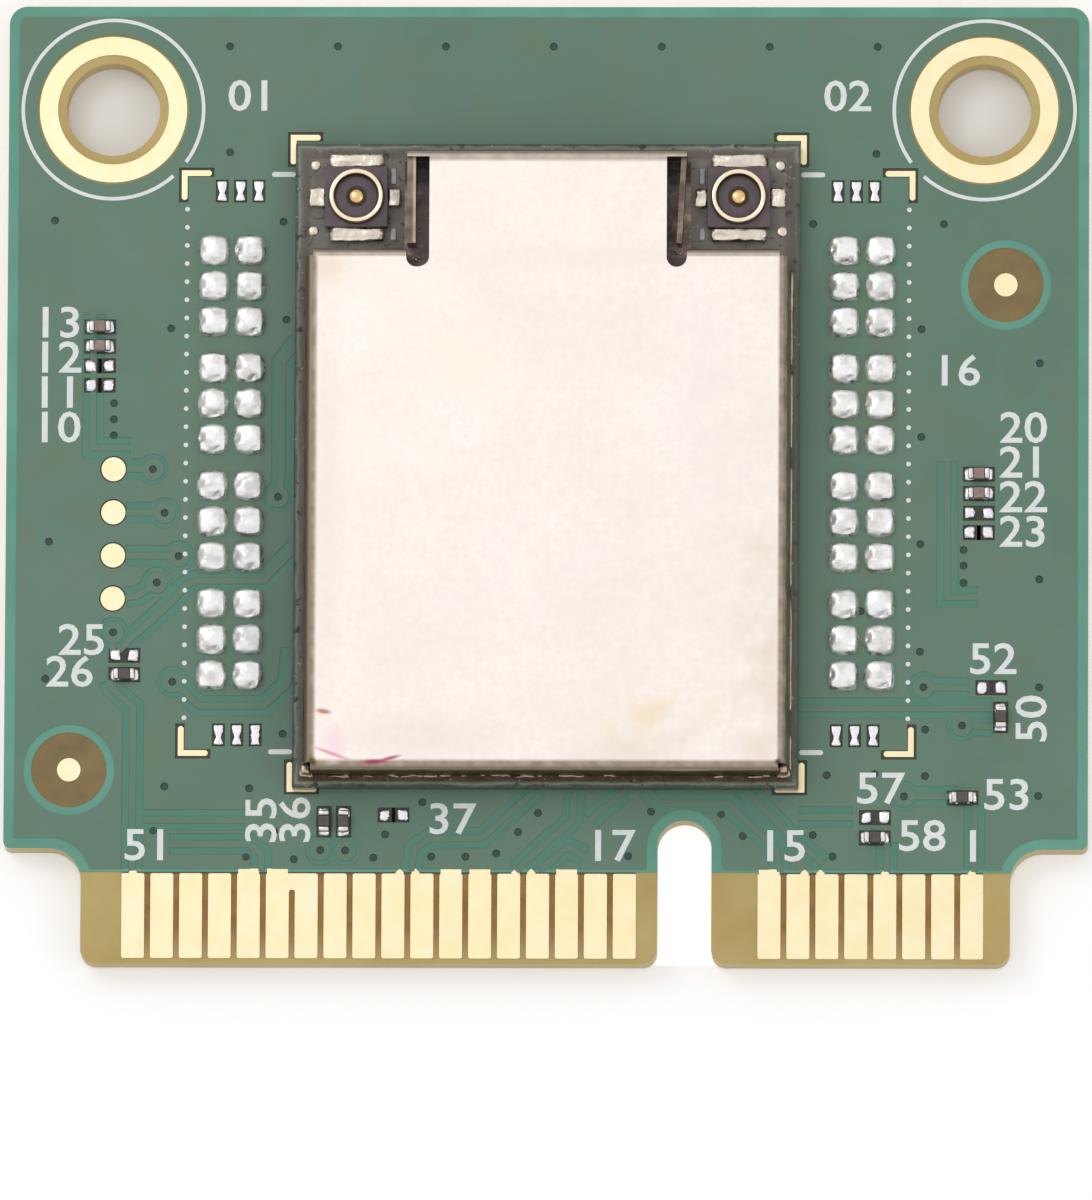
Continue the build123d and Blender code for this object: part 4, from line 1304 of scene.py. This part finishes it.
# Painted shade on the walls: brown, darker towards the foot, darker on the left and paler on the right.
upper_wall = ramp(tree, z_socket, 2.42, 2.66)
lower_wall_shade = mix_colours(tree, brown_cloud, (70, 54, 36), (122, 99, 72))
wall_shade_tone = mix_colours(tree, upper_wall, lower_wall_shade, (162, 147, 131))
right_wall_light = mix_colours(tree, brown_cloud, (150, 138, 122), (186, 176, 160))
wall_shade_tone = mix_colours(tree, ramp(tree, facing(tree, "X"), 0.3, 0.6), wall_shade_tone, right_wall_light)
left_lower_shade = mix_colours(tree, brown_cloud, (66, 54, 40), (106, 92, 72))
left_wall_shade = mix_colours(tree, upper_wall, left_lower_shade, (112, 99, 83))
wall_shade_tone = mix_colours(tree, ramp(tree, facing(tree, "X"), -0.3, -0.6), wall_shade_tone, left_wall_shade)
base_mix(steel, ramp(tree, facing(tree, "Z"), 0.95, 0.7), wall_shade_tone)
low_top = product(tree, ramp(tree, z_socket, 2.56, 2.54), ramp(tree, y_socket, 6.3, 6.5))
base_mix(steel, low_top, mix_colours(tree, brown_cloud, (104, 90, 78), (150, 134, 118)))
print("stains:", len(roof_stains_and_shade) + len(corner_stains_and_shade), "nodes:", len(tree.nodes))

# %% [markdown]
# The can itself is a copy of its node, with the loose triangles joined. Its right wall is pushed out
# at the foot, and the left slot beside the neck opened a little, as on the real one.

# %% Shield can
RIGHT_FLARE = 0.13
FLARE_FROM_X = 6.3
FLARE_TO_Y = 5.0
ROOF_BEND = 0.2
SLOT_OUTER_X = -3.675
SLOT_GAP = 0.35
SLOT_OPENING = 0.075
SLOT_FROM_Y = 5.8

can = node_copy("shield_can")
can_low, can_high = box_of("shield_can")
for vert in can.verts:
    drop = (can_high.z - ROOF_BEND - vert.co.z) / (can_high.z - can_low.z)
    if vert.co.x > FLARE_FROM_X and drop > 0 and vert.co.y < FLARE_TO_Y:
        vert.co.x += RIGHT_FLARE * drop
    past_slot_side = vert.co.x - SLOT_OUTER_X
    if 0 < past_slot_side < SLOT_GAP + 0.01 and vert.co.y > SLOT_FROM_Y:
        vert.co.x += past_slot_side * SLOT_OPENING / SLOT_GAP
add_piece("shield_can_stained_and_shaded", can, ["stained_and_shaded_steel"], ["shield_can"])

# %% [markdown]
# The left spring tab beside the neck of the can leans into its slot, so a second, paler strip of it
# shows. The floor of both slots is brown with burnt flux, nearly black at the back.

# %% Slots beside the neck
SLOT_X = 3.6
SLOT_Y = 7.4
SLOT_WIDTH = 0.74
SLOT_LENGTH = 3.1
TAB_PLACE = (-3.68, 7.78, 0.09, 2.48)
TAB_TOP = 2.47

burnt = finish("burnt_flux", (172, 152, 140), (122, 102, 90), 2.4, 0.3, grain=0.04, grain_per_mm=3.0)
base_mix(burnt, cloud(burnt.node_tree, 3.4, 3.0, 0.54, 0.64), (200, 178, 160))
base_mix(burnt, ramp(burnt.node_tree, axis_socket(burnt.node_tree, "Y"), 8.2, 8.4), (72, 50, 36))
drawing = bmesh.new()
for side in (-1, 1):
    slab(drawing, side * SLOT_X, SLOT_Y, SLOT_WIDTH, SLOT_LENGTH, MODULE_TOP - 0.01, MODULE_TOP + 0.004)
add_piece("slot_floors", drawing, ["burnt_flux"])

finish("pale_edge", (196, 180, 164), (168, 150, 132), 2.0, 0.4, 0.8)
drawing = bmesh.new()
slab(drawing, *TAB_PLACE, MODULE_TOP + 0.1, TAB_TOP)
add_piece("leaning_tab", drawing, ["pale_edge"])

# %% [markdown]
# The can is soldered along its foot, and solder balls and flux are left on the module all round it.
# The streaks are small lumps at random places along the foot, always the same ones because the random
# numbers start from a fixed seed. Larger lumps close the two front corners, where the walls meet.

# %% Solder along the foot
random.seed(7)
FRONT_STREAKS = 26
FOOT_HALF = 6.4
RIGHT_FOOT_X = 6.77
STREAK_REACHES = ((0.06, 0.34), (0.02, 0.035), (0.04, 0.09))
STREAK_DRIFT = 0.05
SLOT_BEADS = 7
BEAD_X = 3.63
BEAD_DRIFT = 0.1
BEAD_Y = (6.0, 7.6)
BEAD_REACH = (0.02, 0.06)
right_streaks = ((-8.1, -7.1), (-6.5, -3.2), (-3.0, 0.4), (0.9, 3.0), (3.2, 5.9))
corner_lumps = (((6.46, -8.26), (6.74, -7.99), 2.25), ((6.4, -8.3), (6.8, -8.1), 1.75))
STREAK_MIDDLE = MODULE_TOP + 0.02

drawing = bmesh.new()
for streak in range(FRONT_STREAKS):
    x = random.uniform(-FOOT_HALF, FOOT_HALF)
    reach = [random.uniform(*span) for span in STREAK_REACHES]
    y = can_low.y - random.uniform(0.0, STREAK_DRIFT)
    lump(drawing, (x, y, STREAK_MIDDLE), reach, 0.6, 0.03, 1, 2)
for start, end in right_streaks:
    centre = (RIGHT_FOOT_X, (start + end) / 2, STREAK_MIDDLE)
    lump(drawing, centre, (0.035, (end - start) / 2, 0.06), 0.2, 0.02, 1)
for side in (-1, 1):
    for (low_x, low_y), (high_x, high_y), top in corner_lumps:
        corners = [(side * low_x, low_y, MODULE_TOP), (side * high_x, high_y, top)]
        pillow(drawing, *box_round(corners), 0.35, 0.03, 1, 4)
    for bead in range(SLOT_BEADS):
        x = side * BEAD_X + random.uniform(-BEAD_DRIFT, BEAD_DRIFT)
        y = random.uniform(*BEAD_Y)
        reach = [random.uniform(*BEAD_REACH) for axis in range(3)]
        lump(drawing, (x, y, STREAK_MIDDLE), reach, 0.8, 0.02, cuts=2)
    for x, y in ((side * 6.5, 7.0), (side * 6.45, 8.85)):
        lump(drawing, (x, y, MODULE_TOP), (0.15, 0.15, 0.05), 1.0, 0.01, cuts=3)
add_piece("foot_beads", drawing, ["foot_solder", "streak_solder"], smooth=True)

# %% [markdown]
# The module's own board is covered with dark lacquer and flux. Its tone changes with the distance
# from the rim: a dark rim of painted shade, a paler wavy line that is a painted highlight along the
# edge, then brown flux towards the can. Thin lines of painted shade lie along the foot of the can's
# front and right walls. Two clouds of different size mix dark and pale specks into it, and a bump
# makes it lumpy.

# %% Module board
RIM_REACH = 0.5
RIM_WOBBLE = 0.3
# The darkest tone at the rim is painted shade, and the palest, a little inside it, a painted highlight.
rim_shade_highlight_and_flux = (
    (0.0, (62, 74, 62)),
    (0.1, (88, 96, 82)),
    (0.2, (140, 146, 132)),
    (0.32, (112, 111, 99)),
    (0.5, (100, 97, 84)),
    (0.72, (102, 95, 83)),
    (0.9, (112, 106, 96)),
)

flux = finish("flux_lacquer_and_rim_light", (106, 102, 91), (138, 133, 122), 1.6, 0.3, 0.0, 0.05, 2.2)
tree = flux.node_tree
module_middle, module_half = (module_low + module_high) / 2, (module_high - module_low) / 2
away = off_middle(tree, module_middle.x, module_middle.y)
nearness = [
    ramp(tree, away["X"], module_half.x - RIM_REACH, module_half.x),
    ramp(tree, away["Y"], module_half.y - RIM_REACH, module_half.y),
]
wobble = product(tree, noise_socket(tree, 1.8, 3.0), RIM_WOBBLE)
wavy = combine(tree, "ADD", wobble, combine(tree, "MAXIMUM", *nearness))
rim = ramp(tree, wavy, 1.15, 0.15)
tones = new_node(tree, "ValToRGB", {"Fac": rim})
elements = tones.color_ramp.elements
for number, (place, tone) in enumerate(rim_shade_highlight_and_flux):
    element = elements[number] if number < 2 else elements.new(place)
    element.position = place
    element.color = linear(*tone)
base_mix(flux, ramp(tree, rim, 0.95, 0.75), tones.outputs["Color"])
# Painted shade: a dark line along the foot of the can's right wall.
base_mix(flux, product(tree, inside_box(tree, 6.87, 0.3, 0.1, 8.6, 0.06), 0.75), (80, 84, 72))
# Painted shade: a dark brown line along the foot of the can's front wall.
base_mix(flux, inside_box(tree, 0, -8.3, 6.8, 0.07, 0.05), (80, 60, 36))
base_mix(flux, cloud(tree, 4.2, 3.0, 0.6, 0.7), (44, 42, 34))
base_mix(flux, cloud(tree, 7.5, 4.0, 0.66, 0.74), (168, 162, 148))
for name in ("module_board", "radio_chip", "left_front_end_chip", "right_front_end_chip"):
    paint_node(name, flux)
print("rim tones:", len(rim_shade_highlight_and_flux))

# %% [markdown]
# Last, the size of the dressed card is measured again and kept beside the size of the plain frame,
# so that the two can be compared.

# %% Bounds and finish
last_low, last_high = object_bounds()
growth = (last_high - last_low) - (first_high - first_low)
print("grown by, in mm:", [round(side / MM, 3) for side in growth])
